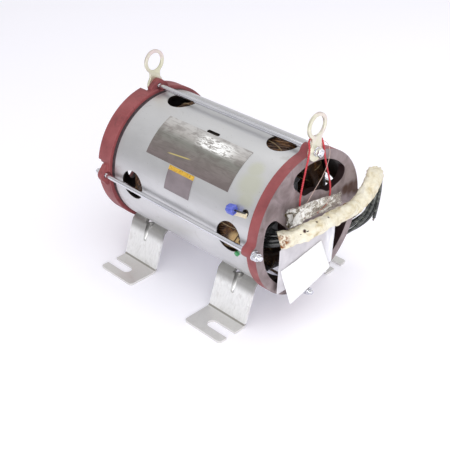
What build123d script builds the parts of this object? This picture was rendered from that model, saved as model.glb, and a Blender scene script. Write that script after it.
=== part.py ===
from build123d import *
from math import asin, cos, degrees, hypot, radians, sin, sqrt, tan
import os

# main sizes, in millimetres: X runs along the shaft, the lead end is at +X, the feet stand on z = 0
shaft_height = 187.5
shell_outer_r = 130.0
shell_wall = 4.0
shell_length = 346.6
lead_rim_depth = 21.4
drive_rim_depth = 33.6
joint_ring_depth = 8.0
body_length = shell_length + lead_rim_depth + drive_rim_depth + joint_ring_depth
lead_face_x = body_length / 2
drive_face_x = -body_length / 2
shell_lead_x = lead_face_x - lead_rim_depth
drive_rim_x = drive_face_x + drive_rim_depth
shell_drive_x = drive_rim_x + joint_ring_depth
shell_inner_r = shell_outer_r - shell_wall

# named clearances
spigot_clearance = 0.03
rod_hole_clearance = 0.4
thread_clearance = 0.04
air_gap = 0.5
slot_fill_clearance = 0.3
shaft_opening_clearance = 0.6
cage_clearance = 0.25
key_clearance = 0.02

# vent holes, lead hole and inspection slot of the shell
vent_r = 28.0
vent_drive_setback = 51.2
vent_lead_setback = 46.4
vent_drive_x = shell_drive_x + vent_drive_setback
vent_lead_x = shell_lead_x - vent_lead_setback
vent_angles = (0, 90, 180, 270)
lead_hole_r = 6.8
lead_hole_setback = 18.9
lead_hole_x = shell_lead_x - lead_hole_setback
lead_hole_angle = 156.0
slot_setback = 167.4
slot_centre_x = shell_lead_x - slot_setback
slot_length = 30.0
slot_width = 6.5
slot_angle = 110.3

# tie rods, nuts and washers, 3/8-16 thread
rod_r = 9.525 / 2
rod_shell_gap = 5.2375
rod_circle_r = shell_outer_r + rod_shell_gap + rod_r
rod_angles = (0, 90, 180, 270)
rod_projection = 17.2
rod_drive_inset = 1.0
rod_lead_x = lead_face_x + rod_projection
rod_drive_x = drive_face_x + rod_drive_inset
rod_thread_length = 32.0
thread_depth = 0.15
rod_thread_r = rod_r - thread_depth
nut_flats = 14.29
nut_depth = 8.33
washer_outer_r = 8.65
washer_depth = 2.4

# cast end bells
rim_wall = 12.5
rim_inner_r = shell_outer_r - rim_wall
spigot_depth = 6.0
spigot_wall = 5.0
lead_rim_step = 5.0
lead_rim_r = shell_outer_r + lead_rim_step
lead_web_depth = 14.0
lead_hub_r = 48.0
lead_boss_r = 11.0
lead_boss_inset = 3.5
lead_boss_centre_r = rod_circle_r - lead_boss_inset
lead_boss_blend_r = 9.0
window_hub_step = 14.0
window_inner_r = lead_hub_r + window_hub_step
arm_width = 60.0
arm_angles = (16, 136, 256)
window_corner_r = 17.0
drive_rim_step = 6.7
drive_rim_r = shell_outer_r + drive_rim_step
drive_web_depth = 16.0
drive_hub_r = 56.0
drive_lug_r = 13.0
drive_lug_root = 18.0
drive_lug_foot_r = rod_circle_r - drive_lug_root
drive_lug_width = 42.0
drive_lug_setback = 28.8
drive_lug_lead_x = drive_face_x + drive_lug_setback
drive_lug_depth = 10.5
drive_lug_back_x = drive_lug_lead_x - drive_lug_depth
drive_pocket_r = 18.8
drive_pocket_width = 47.0
drive_pocket_depth = 11.0
drive_pocket_floor_r = rod_circle_r - drive_pocket_depth
drive_groove_r = 8.0
pilot_r = 215.9 / 2
pilot_depth = 5.6
pilot_inner_r = 84.0
face_hole_r = 12.7 / 2
face_hole_circle_r = 184.15 / 2
face_hole_angles = (45, 135, 225, 315)
drive_window_outer_r = 81.0
drive_window_inner_r = 59.0
drive_arm_width = 34.0
drive_window_corner_r = 7.0

# lifting eyes
eye_depth = 5.0
eye_ring_r = 23.0
eye_hole_r = 16.8
eye_height = 45.0
eye_neck_width = 24.0
eye_foot_r = 18.0
eye_corner_r = 8.0

# feet
foot_width = 90.0
foot_setback = 84.8
foot_centre_x = lead_face_x - foot_setback
foot_plate = 4.76
foot_seat_inset = 53.0
foot_seat_sink = 4.4
foot_ledge_end_y = shell_outer_r - foot_seat_inset
foot_ledge_end_z = shaft_height - sqrt((shell_outer_r - foot_seat_sink) ** 2 - foot_ledge_end_y ** 2)
foot_ledge_width = 15.0
foot_ledge_rise = 8.5
foot_web_lean = 25.0
foot_flange_width = 61.0
foot_web_top_y = foot_ledge_end_y + foot_ledge_width
foot_web_top_z = foot_ledge_end_z - foot_ledge_rise
foot_web_y = foot_web_top_y + foot_web_lean
foot_lean_share = 0.95
foot_outer_y = foot_web_y + foot_flange_width
foot_bend_r = 6.0
foot_slot_width = 20.6
foot_slot_setback = 28.0
foot_slot_y = foot_outer_y - foot_slot_setback
foot_slot_overrun = 10.0
foot_corner_r = 6.0
foot_notch_width = 22.0
foot_notch_depth = 9.0
foot_notch_height = 22.0
foot_notch_step = 1.0
gusset_low_r = 4.5
gusset_high_r = 9.0
gusset_wall = 3.8
gusset_depth = 36.3
gusset_low_z = foot_ledge_end_z - gusset_depth
gusset_run = 3.0
gusset_top_step = 3.0
gusset_top_drop = 1.0
gusset_half_width = 20.0
gusset_back_z = 60.0
gusset_back_step = 20.0
gusset_floor_z = 3.0
gusset_floor_step = 1.0
gusset_floor_run = 30.0
weld_r = 3.0
weld_setback = 3.4
weld_drop = 2.0
weld_end_gap = 2.0

# bearings: drive end 40 x 80 x 18, lead end 35 x 72 x 17
drive_bearing_bore_r = 20.0
drive_bearing_outer_r = 40.0
drive_bearing_width = 18.0
drive_ball_r = 5.95
drive_pitch_r = 30.0
drive_bearing_setback = 20.4
drive_bearing_x = drive_face_x + drive_bearing_setback
lead_bearing_bore_r = 17.5
lead_bearing_outer_r = 36.0
lead_bearing_width = 17.0
lead_ball_r = 5.556
lead_pitch_r = 26.75
lead_bearing_setback = 20.0
lead_bearing_x = lead_face_x - lead_bearing_setback
ball_count = 9
race_gap = 4.2
groove_ratio = 1.03
cage_half_width = 4.6
cage_half_depth = 1.2
cage_side = 1.4
wave_spring_depth = 1.0
wave_spring_wall = 7.0
snap_ring_depth = 2.5
snap_ring_bite = 2.4
snap_ring_lip = 4.0
snap_ring_gap = 14.0

# stator and rotor
stack_drive_setback = 85.2
stack_lead_setback = 80.4
stack_drive_x = shell_drive_x + stack_drive_setback
stack_lead_x = shell_lead_x - stack_lead_setback
stack_depth = 51.0
stator_bore_r = shell_inner_r - stack_depth
stator_slots = 36
slot_mouth_width = 3.0
slot_mouth_depth = 2.4
slot_body_width = 7.6
back_iron = 23.0
slot_bottom_r = shell_inner_r - back_iron
coil_bore_step = 5.0
coil_shell_gap = 12.0
coil_inner_r = stator_bore_r + coil_bore_step
coil_outer_r = shell_inner_r - coil_shell_gap
coil_throat = 9.0
coil_length = 48.0
coil_nose_r = 6.5
end_ring_step = 3.0
end_ring_wall = 26.0
end_ring_outer_r = stator_bore_r - end_ring_step
end_ring_inner_r = end_ring_outer_r - end_ring_wall
end_ring_depth = 14.0
end_ring_fins = 12
fin_depth = 13.0
fin_width = 3.5
shaft_core_r = 27.0
shaft_shoulder_r = 24.0
shaft_end_r = 34.925 / 2
shaft_end_length = 79.4
shaft_chamfer = 1.5
centre_hole_r = 4.0
centre_hole_depth = 9.0
key_side = 7.94
key_length = 47.6
key_end_gap = 5.0

# plates on the shell
plate_glue = 0.3
plate_depth = 0.5
nameplate_drive_setback = 72.2
nameplate_lead_setback = 68.4
nameplate_x = (shell_drive_x + nameplate_drive_setback, shell_lead_x - nameplate_lead_setback)
nameplate_angles = (112.0, 147.8)
sticker_depth = 0.25
sticker_drive_setback = 136.7
sticker_lead_setback = 146.9
sticker_x = (shell_drive_x + sticker_drive_setback, shell_lead_x - sticker_lead_setback)
sticker_angles = (148.4, 167.8)

# six motor leads, through the lead end window and a sleeve, back down beside the motor to the floor;
# stations hang on the lead end face and the shaft axis, those near the floor stand on the floor
lead_r = 3.25
lead_ring_r = 6.75
lead_start_x = stack_lead_x + coil_length
lead_start_y = -97.0
lead_stations = [(-12.8, lead_start_y, 0.0), (25.2, -55.0, 11.5), (29.7, 16.0, 13.5), (32.2, 104.0, 4.5),
                 (26.2, 166.0, 47.5), (3.2, 200.0, 24.5), (-4.8, 205.0, -59.5), (-38.8, 174.0, -107.5)]
lead_floor_stations = [(-100.8, 152.0, 40.0), (-142.8, 146.0, 17.0), (-192.8, 150.0, 17.0)]
lead_spread = (1.0, 1.0, 1.0, 1.0, 1.0, 1.0, 1.0, 1.3, 1.4, 1.2, 1.0, 1.0)
lead_cut_back = (0.0, 14.0, 5.0, 0.0, 9.0, 19.0)
short_lead = 3
short_lead_stations = [(1.8, 203.1, -27.5), (3.2, 199.0, -76.5)]
fillet_share = 0.45

# woven sleeve over the leads
sleeve_outer_r = 11.6
sleeve_wall = 1.2
sleeve_start = 0.46
sleeve_end = 0.52

# protector lead, wire nut and tape beside the lead end vent; stations give x from the hole, radius and angle
protector_r = 1.5
protector_start_r = 104.0
protector_stations = [(2.5, 104.0, 0.0), (9.5, 115.0, 0.0), (0.5, 131.0, 0.0), (-8.0, 139.0, 0.0),
                      (-15.5, 139.6, 0.3)]
wire_nut_length = 18.0
wire_nut_mouth_r = 8.2
wire_nut_tip_r = 6.2
tape_drive_setback = 41.4
tape_lead_setback = 26.6
tape_x = (shell_lead_x - tape_drive_setback, shell_lead_x - tape_lead_setback)
tape_angles = (157.0, 161.2)
tape_depth = 0.6
ground_screw_setback = 26.0
ground_screw_x = shell_lead_x - ground_screw_setback
ground_screw_angle = 190.6
ground_head_r = 4.8
ground_head_depth = 4.0
ground_shank_r = 2.4
ground_shank_depth = 8.0

# red tie cord, tag wire, film tube and paper tags; stations hang on the lead end face and the shaft axis
tie_r = 1.5
tie_stations = [(2.4, -10.0, 15.5), (2.2, -38.0, 19.5), (2.6, -47.0, 55.5), (5.2, -36.0, 104.5),
                (7.7, -18.0, 150.5), (-1.5, -15.5, 162.5), (-3.3, 0.0, 164.5), (-1.5, 15.5, 162.5),
                (7.7, 18.0, 150.5), (6.2, 28.0, 102.5), (2.6, 42.0, 53.5), (2.2, 36.0, 18.5), (2.4, 6.0, 15.5)]
wire_r = 0.5
wire_stations = [(-1.2, -4.0, 153.5), (-1.2, 12.0, 153.5), (6.2, 24.0, 150.5), (9.2, 33.0, 130.5),
                 (9.7, 22.0, 96.5), (4.9, -8.0, 58.5), (4.9, -30.0, 34.5), (6.7, -36.0, -10.5)]
film_setoff = 6.2
film_depth = 6.0
film_y = (-68.0, 70.0)
film_left_z = (24.5, 60.5)
film_right_z = (12.5, 38.5)
film_wall = 0.5
film_end_overlap = 0.01
card_depth = 0.6
rear_card_setoff = 7.2
rear_card_x = lead_face_x + rear_card_setoff
rear_card_yz = [(-84.0, -14.5), (-42.0, -3.5), (66.0, -5.5), (62.0, -105.5), (-87.0, -103.5)]
front_card_x = rear_card_x + card_depth
front_card_yz = [(-80.0, -57.5), (26.0, -42.5), (59.0, -115.5), (-55.0, -138.5)]


def lay_x(sketch, start, end):
    """Solid of a YZ sketch between two places along the shaft axis."""
    return extrude(Plane.YZ.offset(start) * sketch, end - start)


def on_axis(shape):
    """Shape moved up onto the shaft axis."""
    return Pos(0, 0, shaft_height) * shape


def tube_x(outer_r, inner_r, start, end):
    """Tube about the X axis, still at z = 0."""
    return lay_x(Circle(outer_r) - Circle(inner_r), start, end)


def disc_x(outer_r, start, end):
    """Solid disc about the X axis, still at z = 0."""
    return lay_x(Circle(outer_r), start, end)


def at_angle(radius, angle):
    """Place in the YZ plane at a radius and an angle from +Y."""
    return Pos(radius * cos(radians(angle)), radius * sin(radians(angle)))


def radial_cylinder(radius, centre_x, angle, inner, outer):
    """Cylinder pointing outwards from the X axis."""
    rod = Pos(0, 0, (inner + outer) / 2) * Cylinder(radius, outer - inner)
    return Pos(centre_x, 0, 0) * Rot(angle - 90, 0, 0) * rod


def build_shell():
    body = tube_x(shell_outer_r, shell_inner_r, shell_drive_x, shell_lead_x)
    for vent_x in (vent_drive_x, vent_lead_x):
        for angle in vent_angles:
            body -= radial_cylinder(vent_r, vent_x, angle, shell_inner_r * 0.8, shell_outer_r * 1.1)
    body -= radial_cylinder(lead_hole_r, lead_hole_x, lead_hole_angle, shell_inner_r * 0.8, shell_outer_r * 1.1)
    screw_r = ground_shank_r + thread_clearance
    body -= radial_cylinder(screw_r, ground_screw_x, ground_screw_angle, shell_inner_r * 0.8, shell_outer_r * 1.1)
    slot = extrude(SlotOverall(slot_length, slot_width), shell_outer_r)
    slot = Pos(slot_centre_x, 0, 0) * Rot(slot_angle - 90, 0, 0) * (Pos(0, 0, shell_inner_r * 0.8) * slot)
    return on_axis(body - slot)


def build_joint_ring():
    return on_axis(tube_x(shell_outer_r, shell_inner_r, drive_rim_x, shell_drive_x))


def window_sketch(inner_r, outer_r, bar_width, angles, corner_r):
    """Kidney windows left between a hub, a rim and straight arms."""
    arms = Sketch()
    for angle in angles:
        arms += Rot(0, 0, angle) * (Pos(outer_r / 2, 0) * Rectangle(outer_r, bar_width))
    openings = (Circle(outer_r) - Circle(inner_r)) - arms
    return fillet(openings.vertices(), corner_r)


def build_lead_bell():
    rim = Circle(lead_rim_r) + [at_angle(lead_boss_centre_r, a) * Circle(lead_boss_r) for a in rod_angles]
    joints = [v for v in rim.vertices() if abs(hypot(v.X, v.Y) - lead_rim_r) < 0.01]
    rim = fillet(joints, lead_boss_blend_r)
    rim -= [at_angle(rod_circle_r, a) * Circle(rod_r + rod_hole_clearance) for a in rod_angles]
    body = lay_x(rim, shell_lead_x, lead_face_x)
    body -= disc_x(rim_inner_r, shell_lead_x, lead_face_x - lead_web_depth)
    spigot_r = shell_inner_r - spigot_clearance
    body += tube_x(spigot_r, spigot_r - spigot_wall, shell_lead_x - spigot_depth, shell_lead_x)
    bearing_back = lead_bearing_x + lead_bearing_width / 2 + wave_spring_depth
    bearing_front = lead_bearing_x - lead_bearing_width / 2
    body += disc_x(lead_hub_r, bearing_front - 2, lead_face_x - lead_web_depth)
    windows = window_sketch(window_inner_r, rim_inner_r, arm_width, arm_angles, window_corner_r)
    body -= lay_x(windows, lead_face_x - lead_web_depth - 1, lead_face_x + 1)
    body -= disc_x(lead_bearing_outer_r, bearing_front - 3, bearing_back)
    body = max(body.solids(), key=lambda solid: solid.volume)
    return on_axis(body)


def build_drive_bell():
    body = disc_x(drive_rim_r, drive_face_x, drive_rim_x)
    body -= disc_x(rim_inner_r, drive_face_x + drive_web_depth, drive_rim_x)
    spigot_r = shell_inner_r - spigot_clearance
    body += tube_x(spigot_r, spigot_r - spigot_wall, drive_rim_x, shell_drive_x + spigot_depth)
    for angle in rod_angles:
        depth = rod_circle_r - drive_pocket_floor_r
        pocket = Rot(0, 0, angle) * (Pos(drive_pocket_floor_r + depth / 2, 0) * Rectangle(depth, drive_pocket_width))
        pocket += at_angle(rod_circle_r, angle) * Circle(drive_pocket_r)
        body -= lay_x(pocket, drive_face_x, drive_lug_back_x)
        groove = at_angle(rod_circle_r, angle) * Circle(drive_groove_r)
        body -= lay_x(groove, drive_lug_lead_x, drive_rim_x)
        length = rod_circle_r - drive_lug_foot_r
        block = Rot(0, 0, angle) * (Pos(drive_lug_foot_r + length / 2, 0) * Rectangle(length, drive_lug_width))
        cap = at_angle(rod_circle_r, angle) * Circle(drive_lug_r)
        lug = make_hull((block + cap).edges())
        body += lay_x(lug, drive_lug_back_x, drive_lug_lead_x)
        hole = at_angle(rod_circle_r, angle) * Circle(rod_r + rod_hole_clearance)
        body -= lay_x(hole, drive_lug_back_x, drive_lug_lead_x)
    body += tube_x(pilot_r, pilot_inner_r, drive_face_x - pilot_depth, drive_face_x)
    hub_end = drive_bearing_x + drive_bearing_width / 2 + snap_ring_lip + snap_ring_depth
    body += disc_x(drive_hub_r, drive_face_x + drive_web_depth, hub_end)
    windows = window_sketch(drive_window_inner_r, drive_window_outer_r, drive_arm_width, face_hole_angles,
                            drive_window_corner_r)
    body -= lay_x(windows, drive_face_x - 1, drive_face_x + drive_web_depth + 1)
    body -= disc_x(drive_bearing_outer_r, drive_bearing_x - drive_bearing_width / 2, hub_end)
    groove_start = drive_bearing_x + drive_bearing_width / 2
    groove_r = drive_bearing_outer_r + snap_ring_bite
    body -= disc_x(groove_r, groove_start, groove_start + snap_ring_depth)
    body -= disc_x(shaft_end_r + shaft_opening_clearance + 3, drive_face_x, drive_bearing_x)
    for angle in face_hole_angles:
        hole = at_angle(face_hole_circle_r, angle) * Circle(face_hole_r)
        body -= lay_x(hole, drive_face_x - pilot_depth, drive_face_x + drive_web_depth)
    return on_axis(body)


def build_rods():
    rods = []
    for angle in rod_angles:
        place = at_angle(rod_circle_r, angle)
        rod = lay_x(place * Circle(rod_thread_r), rod_drive_x, rod_lead_x)
        plain = lay_x(place * Circle(rod_r), rod_drive_x + rod_thread_length, rod_lead_x - rod_thread_length)
        rods.append(on_axis(rod + plain))
    return Compound(children=rods)


def build_nuts(starts):
    nuts = []
    for angle, start in zip(rod_angles, starts):
        place = at_angle(rod_circle_r, angle)
        sketch = RegularPolygon(nut_flats / 2, 6, major_radius=False) - Circle(rod_thread_r + thread_clearance)
        nuts.append(on_axis(lay_x(place * (Rot(0, 0, 7 * angle / 90) * sketch), start, start + nut_depth)))
    return Compound(children=nuts)


def build_washers(starts):
    washers = []
    for angle, start in zip(rod_angles, starts):
        ring = at_angle(rod_circle_r, angle) * (Circle(washer_outer_r) - Circle(rod_r + thread_clearance))
        washers.append(on_axis(lay_x(ring, start, start + washer_depth)))
    return Compound(children=washers)


def seats(base, sign):
    """Seat of the washer on each rod: the top rod carries the lifting eye below its washer."""
    return [base + sign * (eye_depth if angle == 90 else 0) for angle in rod_angles]


def build_eye(start):
    centre = at_angle(rod_circle_r, 90)
    ring = Pos(0, rod_circle_r + eye_height) * Circle(eye_ring_r)
    foot = centre * Circle(eye_foot_r)
    neck = Pos(0, rod_circle_r + eye_height / 2) * Rectangle(eye_neck_width, eye_height)
    sketch = ring + foot + neck
    joints = [v for v in sketch.vertices() if abs(abs(v.X) - eye_neck_width / 2) < 0.01]
    sketch = fillet(joints, eye_corner_r)
    sketch -= Pos(0, rod_circle_r + eye_height) * Circle(eye_hole_r)
    sketch -= centre * Circle(rod_r + rod_hole_clearance)
    return on_axis(lay_x(sketch, start, start + eye_depth))


def build_foot(side, end):
    """Pressed Z foot: side is -1 or +1 in Y, end is -1 or +1 in X; built for -Y, +X and mirrored."""
    half = foot_plate / 2
    lean = half * foot_lean_share
    points = [(-foot_outer_y, half), (lean - foot_web_y, half), (lean - foot_web_top_y, foot_web_top_z - half),
              (-foot_ledge_end_y, foot_ledge_end_z - half)]
    line = FilletPolyline(*points, radius=foot_bend_r + half)
    profile = trace(line, line_width=foot_plate)
    body = lay_x(profile, foot_centre_x - foot_width / 2, foot_centre_x + foot_width / 2)
    corners = [e for e in body.edges().filter_by(Axis.Z) if abs(e.center().Y + foot_outer_y) < 0.1]
    body = fillet(corners, foot_corner_r)
    body = body + foot_gusset() - foot_gusset_groove()
    bead_y = foot_ledge_end_y + weld_setback
    bead_half = foot_width / 2 - weld_end_gap
    bead = Pos(-bead_y, foot_ledge_end_z - weld_drop) * Circle(weld_r)
    body += lay_x(bead, foot_centre_x - bead_half, foot_centre_x + bead_half)
    notch = Box(foot_notch_width, foot_notch_depth * 2, foot_notch_height)
    body -= Pos(foot_centre_x, foot_notch_step - bead_y, foot_ledge_end_z) * notch
    body -= foot_slot()
    body -= on_axis(disc_x(shell_outer_r, 0, foot_centre_x * 2))
    body = max(body.solids(), key=lambda s: s.volume)
    if side > 0:
        body = mirror(body, Plane.XZ)
    if end < 0:
        body = mirror(body, Plane.YZ)
    return body


def foot_slot():
    """Round-ended bolt slot, open at the outer end of the foot."""
    length = foot_width / 2 + foot_slot_overrun
    slot = Pos(foot_centre_x, -foot_slot_y, 0) * Cylinder(foot_slot_width / 2, foot_plate * 4)
    return slot + Pos(foot_centre_x + length / 2, -foot_slot_y, 0) * Box(length, foot_slot_width, foot_plate * 4)


def gusset_frame():
    """Place and length of the pressed gusset, which leans with the web."""
    low = (-(foot_web_y - gusset_low_z / gusset_run), gusset_low_z)
    high = (-foot_ledge_end_y - gusset_top_step, foot_ledge_end_z - gusset_top_drop)
    length = hypot(high[0] - low[0], high[1] - low[1])
    tilt = degrees(asin((high[0] - low[0]) / length))
    return Pos(foot_centre_x, (low[0] + high[0]) / 2, (low[1] + high[1]) / 2) * Rot(-tilt, 0, 0), length


def foot_gusset():
    place, length = gusset_frame()
    trough = place * Cone(gusset_low_r + gusset_wall, gusset_high_r + gusset_wall, length)
    behind = Polyline((-foot_web_y + gusset_floor_step, gusset_floor_z), (-foot_web_top_y, foot_web_top_z),
                      (-foot_ledge_end_y, foot_ledge_end_z), (-foot_ledge_end_y + gusset_back_step, gusset_back_z),
                      (-foot_web_y + gusset_floor_run, gusset_floor_z), close=True)
    inside = lay_x(make_face(behind), foot_centre_x - gusset_half_width, foot_centre_x + gusset_half_width)
    return trough & inside


def foot_gusset_groove():
    place, length = gusset_frame()
    return place * (Cone(gusset_low_r, gusset_high_r, length) + Pos(0, 0, -length / 2) * Sphere(gusset_low_r))


def build_race_outer(centre_x, outer_r, pitch_r, ball_r, width):
    inner_r = pitch_r + race_gap
    body = tube_x(outer_r, inner_r, centre_x - width / 2, centre_x + width / 2)
    return on_axis(body - Pos(centre_x, 0, 0) * Rot(0, 90, 0) * Torus(pitch_r, ball_r * groove_ratio))


def build_race_inner(centre_x, bore_r, pitch_r, ball_r, width):
    body = tube_x(pitch_r - race_gap, bore_r, centre_x - width / 2, centre_x + width / 2)
    return on_axis(body - Pos(centre_x, 0, 0) * Rot(0, 90, 0) * Torus(pitch_r, ball_r * groove_ratio))


def build_balls(centre_x, pitch_r, ball_r):
    balls = []
    for index in range(ball_count):
        angle = radians(360 / ball_count * index)
        place = Pos(centre_x, pitch_r * cos(angle), pitch_r * sin(angle))
        balls.append(on_axis(place * Sphere(ball_r)))
    return Compound(children=balls)


def build_cage(centre_x, pitch_r, ball_r):
    half = ball_r + cage_side
    body = tube_x(pitch_r + cage_half_depth, pitch_r - cage_half_depth, centre_x - half, centre_x + half)
    for index in range(ball_count):
        angle = 360 / ball_count * index
        pocket = radial_cylinder(ball_r + cage_clearance, centre_x, angle, pitch_r / 2, pitch_r * 1.5)
        body -= pocket
    return on_axis(body)


def build_wave_spring():
    start = lead_bearing_x + lead_bearing_width / 2
    ring = tube_x(lead_bearing_outer_r - 0.5, lead_bearing_outer_r - wave_spring_wall, start, start + wave_spring_depth)
    return on_axis(ring)


def build_snap_ring():
    start = drive_bearing_x + drive_bearing_width / 2
    outer = drive_bearing_outer_r + snap_ring_bite
    ring = tube_x(outer, drive_bearing_outer_r - 3.5, start, start + snap_ring_depth)
    gap = Pos(start, 0, -drive_bearing_outer_r) * Box(snap_ring_depth * 4, snap_ring_gap, 16)
    return on_axis(ring - gap)


def slot_sketch(clearance, mouth):
    """One stator slot, pointing along +Y of the YZ sketch."""
    bottom = slot_bottom_r - clearance
    top = stator_bore_r + slot_mouth_depth + clearance
    body = Pos((bottom + top) / 2, 0) * Rectangle(bottom - top, slot_body_width - 2 * clearance)
    if mouth:
        body += Pos(stator_bore_r + slot_mouth_depth / 2, 0) * Rectangle(slot_mouth_depth + 1, slot_mouth_width)
    return body


def build_stator_core():
    sketch = Circle(shell_inner_r) - Circle(stator_bore_r)
    cuts = [Rot(0, 0, 360 / stator_slots * i) * slot_sketch(0, True) for i in range(stator_slots)]
    sketch -= cuts
    return on_axis(lay_x(sketch, stack_drive_x, stack_lead_x))


def coil_end(start, sign):
    """Tied end turns of one end: a neck out of the slots and a rounded ring."""
    end = start + sign * coil_length
    neck = start + sign * coil_throat
    points = Polyline((min(neck, end), coil_inner_r), (max(neck, end), coil_inner_r), (max(neck, end), coil_outer_r),
                      (min(neck, end), coil_outer_r), close=True)
    profile = make_face(points)
    profile = fillet(profile.vertices(), coil_nose_r)
    return revolve(Plane.XY * profile, Axis.X)


def build_winding():
    body = coil_end(stack_drive_x, -1) + coil_end(stack_lead_x, 1)
    bars = [Rot(0, 0, 360 / stator_slots * i) * slot_sketch(slot_fill_clearance, False) for i in range(stator_slots)]
    inner = stack_drive_x - coil_throat - 6
    outer = stack_lead_x + coil_throat + 6
    body += [lay_x(bar, inner, outer) for bar in bars]
    return on_axis(body)


def build_rotor_core():
    rotor_r = stator_bore_r - air_gap
    return on_axis(tube_x(rotor_r, shaft_core_r, stack_drive_x, stack_lead_x))


def build_end_ring(start, sign):
    end = start + sign * end_ring_depth
    body = tube_x(end_ring_outer_r, end_ring_inner_r, min(start, end), max(start, end))
    fin_end = end + sign * fin_depth
    mid_r = (end_ring_outer_r + end_ring_inner_r) / 2
    for index in range(end_ring_fins):
        fin = Pos((end + fin_end) / 2, mid_r, 0) * Box(fin_depth, end_ring_outer_r - end_ring_inner_r - 6, fin_width)
        body += Rot(360 / end_ring_fins * index, 0, 0) * fin
    return on_axis(body)


def build_shaft():
    drive_shoulder = drive_bearing_x + drive_bearing_width / 2
    lead_shoulder = lead_bearing_x - lead_bearing_width / 2
    shaft_tip = drive_face_x - shaft_end_length
    body = disc_x(shaft_core_r, stack_drive_x, stack_lead_x)
    body += disc_x(shaft_shoulder_r, drive_shoulder, lead_shoulder)
    body += disc_x(drive_bearing_bore_r, drive_face_x + 4, drive_shoulder)
    lead_tip = lead_bearing_x + lead_bearing_width / 2 - 0.5
    body += disc_x(lead_bearing_bore_r, lead_shoulder, lead_tip)
    body += disc_x(shaft_end_r, shaft_tip, drive_face_x + 5)
    rims = [e for e in body.edges().filter_by(GeomType.CIRCLE)
            if abs(e.center().X - shaft_tip) < 0.01 or abs(e.center().X - lead_tip) < 0.01]
    body = chamfer(rims, shaft_chamfer)
    body -= Pos(shaft_tip + centre_hole_depth / 2, 0, 0) * Rot(0, 90, 0) * Cylinder(centre_hole_r, centre_hole_depth)
    seat_x = shaft_tip + key_end_gap
    seat = Pos(seat_x + key_length / 2, 0, shaft_end_r) * Box(key_length + 0.2, key_side + 2 * key_clearance, key_side)
    return on_axis(body - seat)


def build_key():
    seat_x = drive_face_x - shaft_end_length + key_end_gap
    return on_axis(Pos(seat_x + key_length / 2, 0, shaft_end_r) * Box(key_length, key_side, key_side))


def curved_plate(span_x, angles, depth):
    """Thin plate that follows the round of the shell."""
    ring = Circle(shell_outer_r + plate_glue + depth) - Circle(shell_outer_r + plate_glue)
    far = shell_outer_r * 1.5
    wedge = Polyline((0, 0), (far * cos(radians(angles[0])), far * sin(radians(angles[0]))),
                     (far * cos(radians(angles[1])), far * sin(radians(angles[1]))), close=True)
    return on_axis(lay_x(ring & make_face(wedge), span_x[0], span_x[1]))


def bend_radii(points, shifts=None):
    """Bend radius of each inner corner, from the shorter run beside it and the turn."""
    radii = []
    for index in range(1, len(points) - 1):
        before = Vector(points[index]) - Vector(points[index - 1])
        after = Vector(points[index + 1]) - Vector(points[index])
        half_turn = radians(before.get_angle(after)) / 2
        shorter = min(before.length, after.length)
        radii.append(fillet_share * shorter / tan(half_turn) + (shifts[index - 1] if shifts else 0))
    return radii


def cord(name, points, radius, radii=None):
    """Plain round cord along straight runs joined by tangent arcs."""
    radii = radii or bend_radii(points)
    print(name, "bend radii", [round(value, 1) for value in radii])
    route = FilletPolyline(*points, radius=radii)
    start = Plane(origin=route @ 0, z_dir=route % 0)
    return sweep(start * Circle(radius), path=route)


def beside(points, offset, spread):
    """Corners and bend shifts of a cord that keeps its place in a bundle."""
    vectors = [Vector(point) for point in points]
    first = (vectors[1] - vectors[0]).normalized()
    corners = [vectors[0] + offset]
    shifts = []
    for index in range(1, len(vectors) - 1):
        before = (vectors[index] - vectors[index - 1]).normalized()
        after = (vectors[index + 1] - vectors[index]).normalized()
        middle = (before + after).normalized()
        inward = (after - before).normalized()
        mitred = offset - before * (offset.dot(middle) / before.dot(middle))
        corners.append(vectors[index] + mitred * spread[index])
        shifts.append(-mitred.dot(inward) * cos(radians(before.get_angle(after)) / 2) * spread[index])
        offset = mitred - after * mitred.dot(after)
    corners.append(vectors[-1] + offset * spread[-1])
    return corners, shifts


def hung(stations, floor_stations=()):
    """Places of stations given from the lead end face, the shaft's side and the shaft axis or the floor."""
    places = [(lead_face_x + place_x, place_y, shaft_height + place_z) for place_x, place_y, place_z in stations]
    return places + [(lead_face_x + place_x, place_y, place_z) for place_x, place_y, place_z in floor_stations]


def lead_route(short=False):
    """Middle line of the bundle, from the coil's face to the cut ends."""
    start = [(lead_start_x, lead_start_y, shaft_height)]
    if short:
        return start + hung(lead_stations[:-2] + short_lead_stations)
    return start + hung(lead_stations, lead_floor_stations)


def bundle_offset(index):
    """Place of one lead in the ring of six, seen along the shaft."""
    angle = radians(60 * index + 30)
    return Vector(0, lead_ring_r * cos(angle), lead_ring_r * sin(angle))


def build_lead(index):
    route = lead_route(index == short_lead)
    corners, shifts = beside(route, bundle_offset(index), lead_spread)
    back = (corners[-2] - corners[-1]).normalized()
    corners[-1] = corners[-1] + back * lead_cut_back[index]
    return cord("lead " + str(index + 1), corners, lead_r, bend_radii(route, shifts))


def build_sleeve():
    route = [Vector(*place) for place in lead_route()]
    radii = bend_radii(lead_route())
    first = route[1] + (route[2] - route[1]) * sleeve_start
    last = route[5] + (route[6] - route[5]) * sleeve_end
    points = [first] + route[2:6] + [last]
    outer = cord("sleeve", points, sleeve_outer_r, radii[1:5])
    inner = cord("sleeve bore", points, sleeve_outer_r - sleeve_wall, radii[1:5])
    return outer - inner


def protector_route():
    """Corners of the protector lead, from stations about the lead hole."""
    stations = [(lead_start_x - lead_hole_x, protector_start_r, 0.0)] + protector_stations
    route = []
    for step, radius, turn in stations:
        angle = radians(lead_hole_angle + turn)
        route.append((lead_hole_x + step, radius * cos(angle), shaft_height + radius * sin(angle)))
    return route


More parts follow.
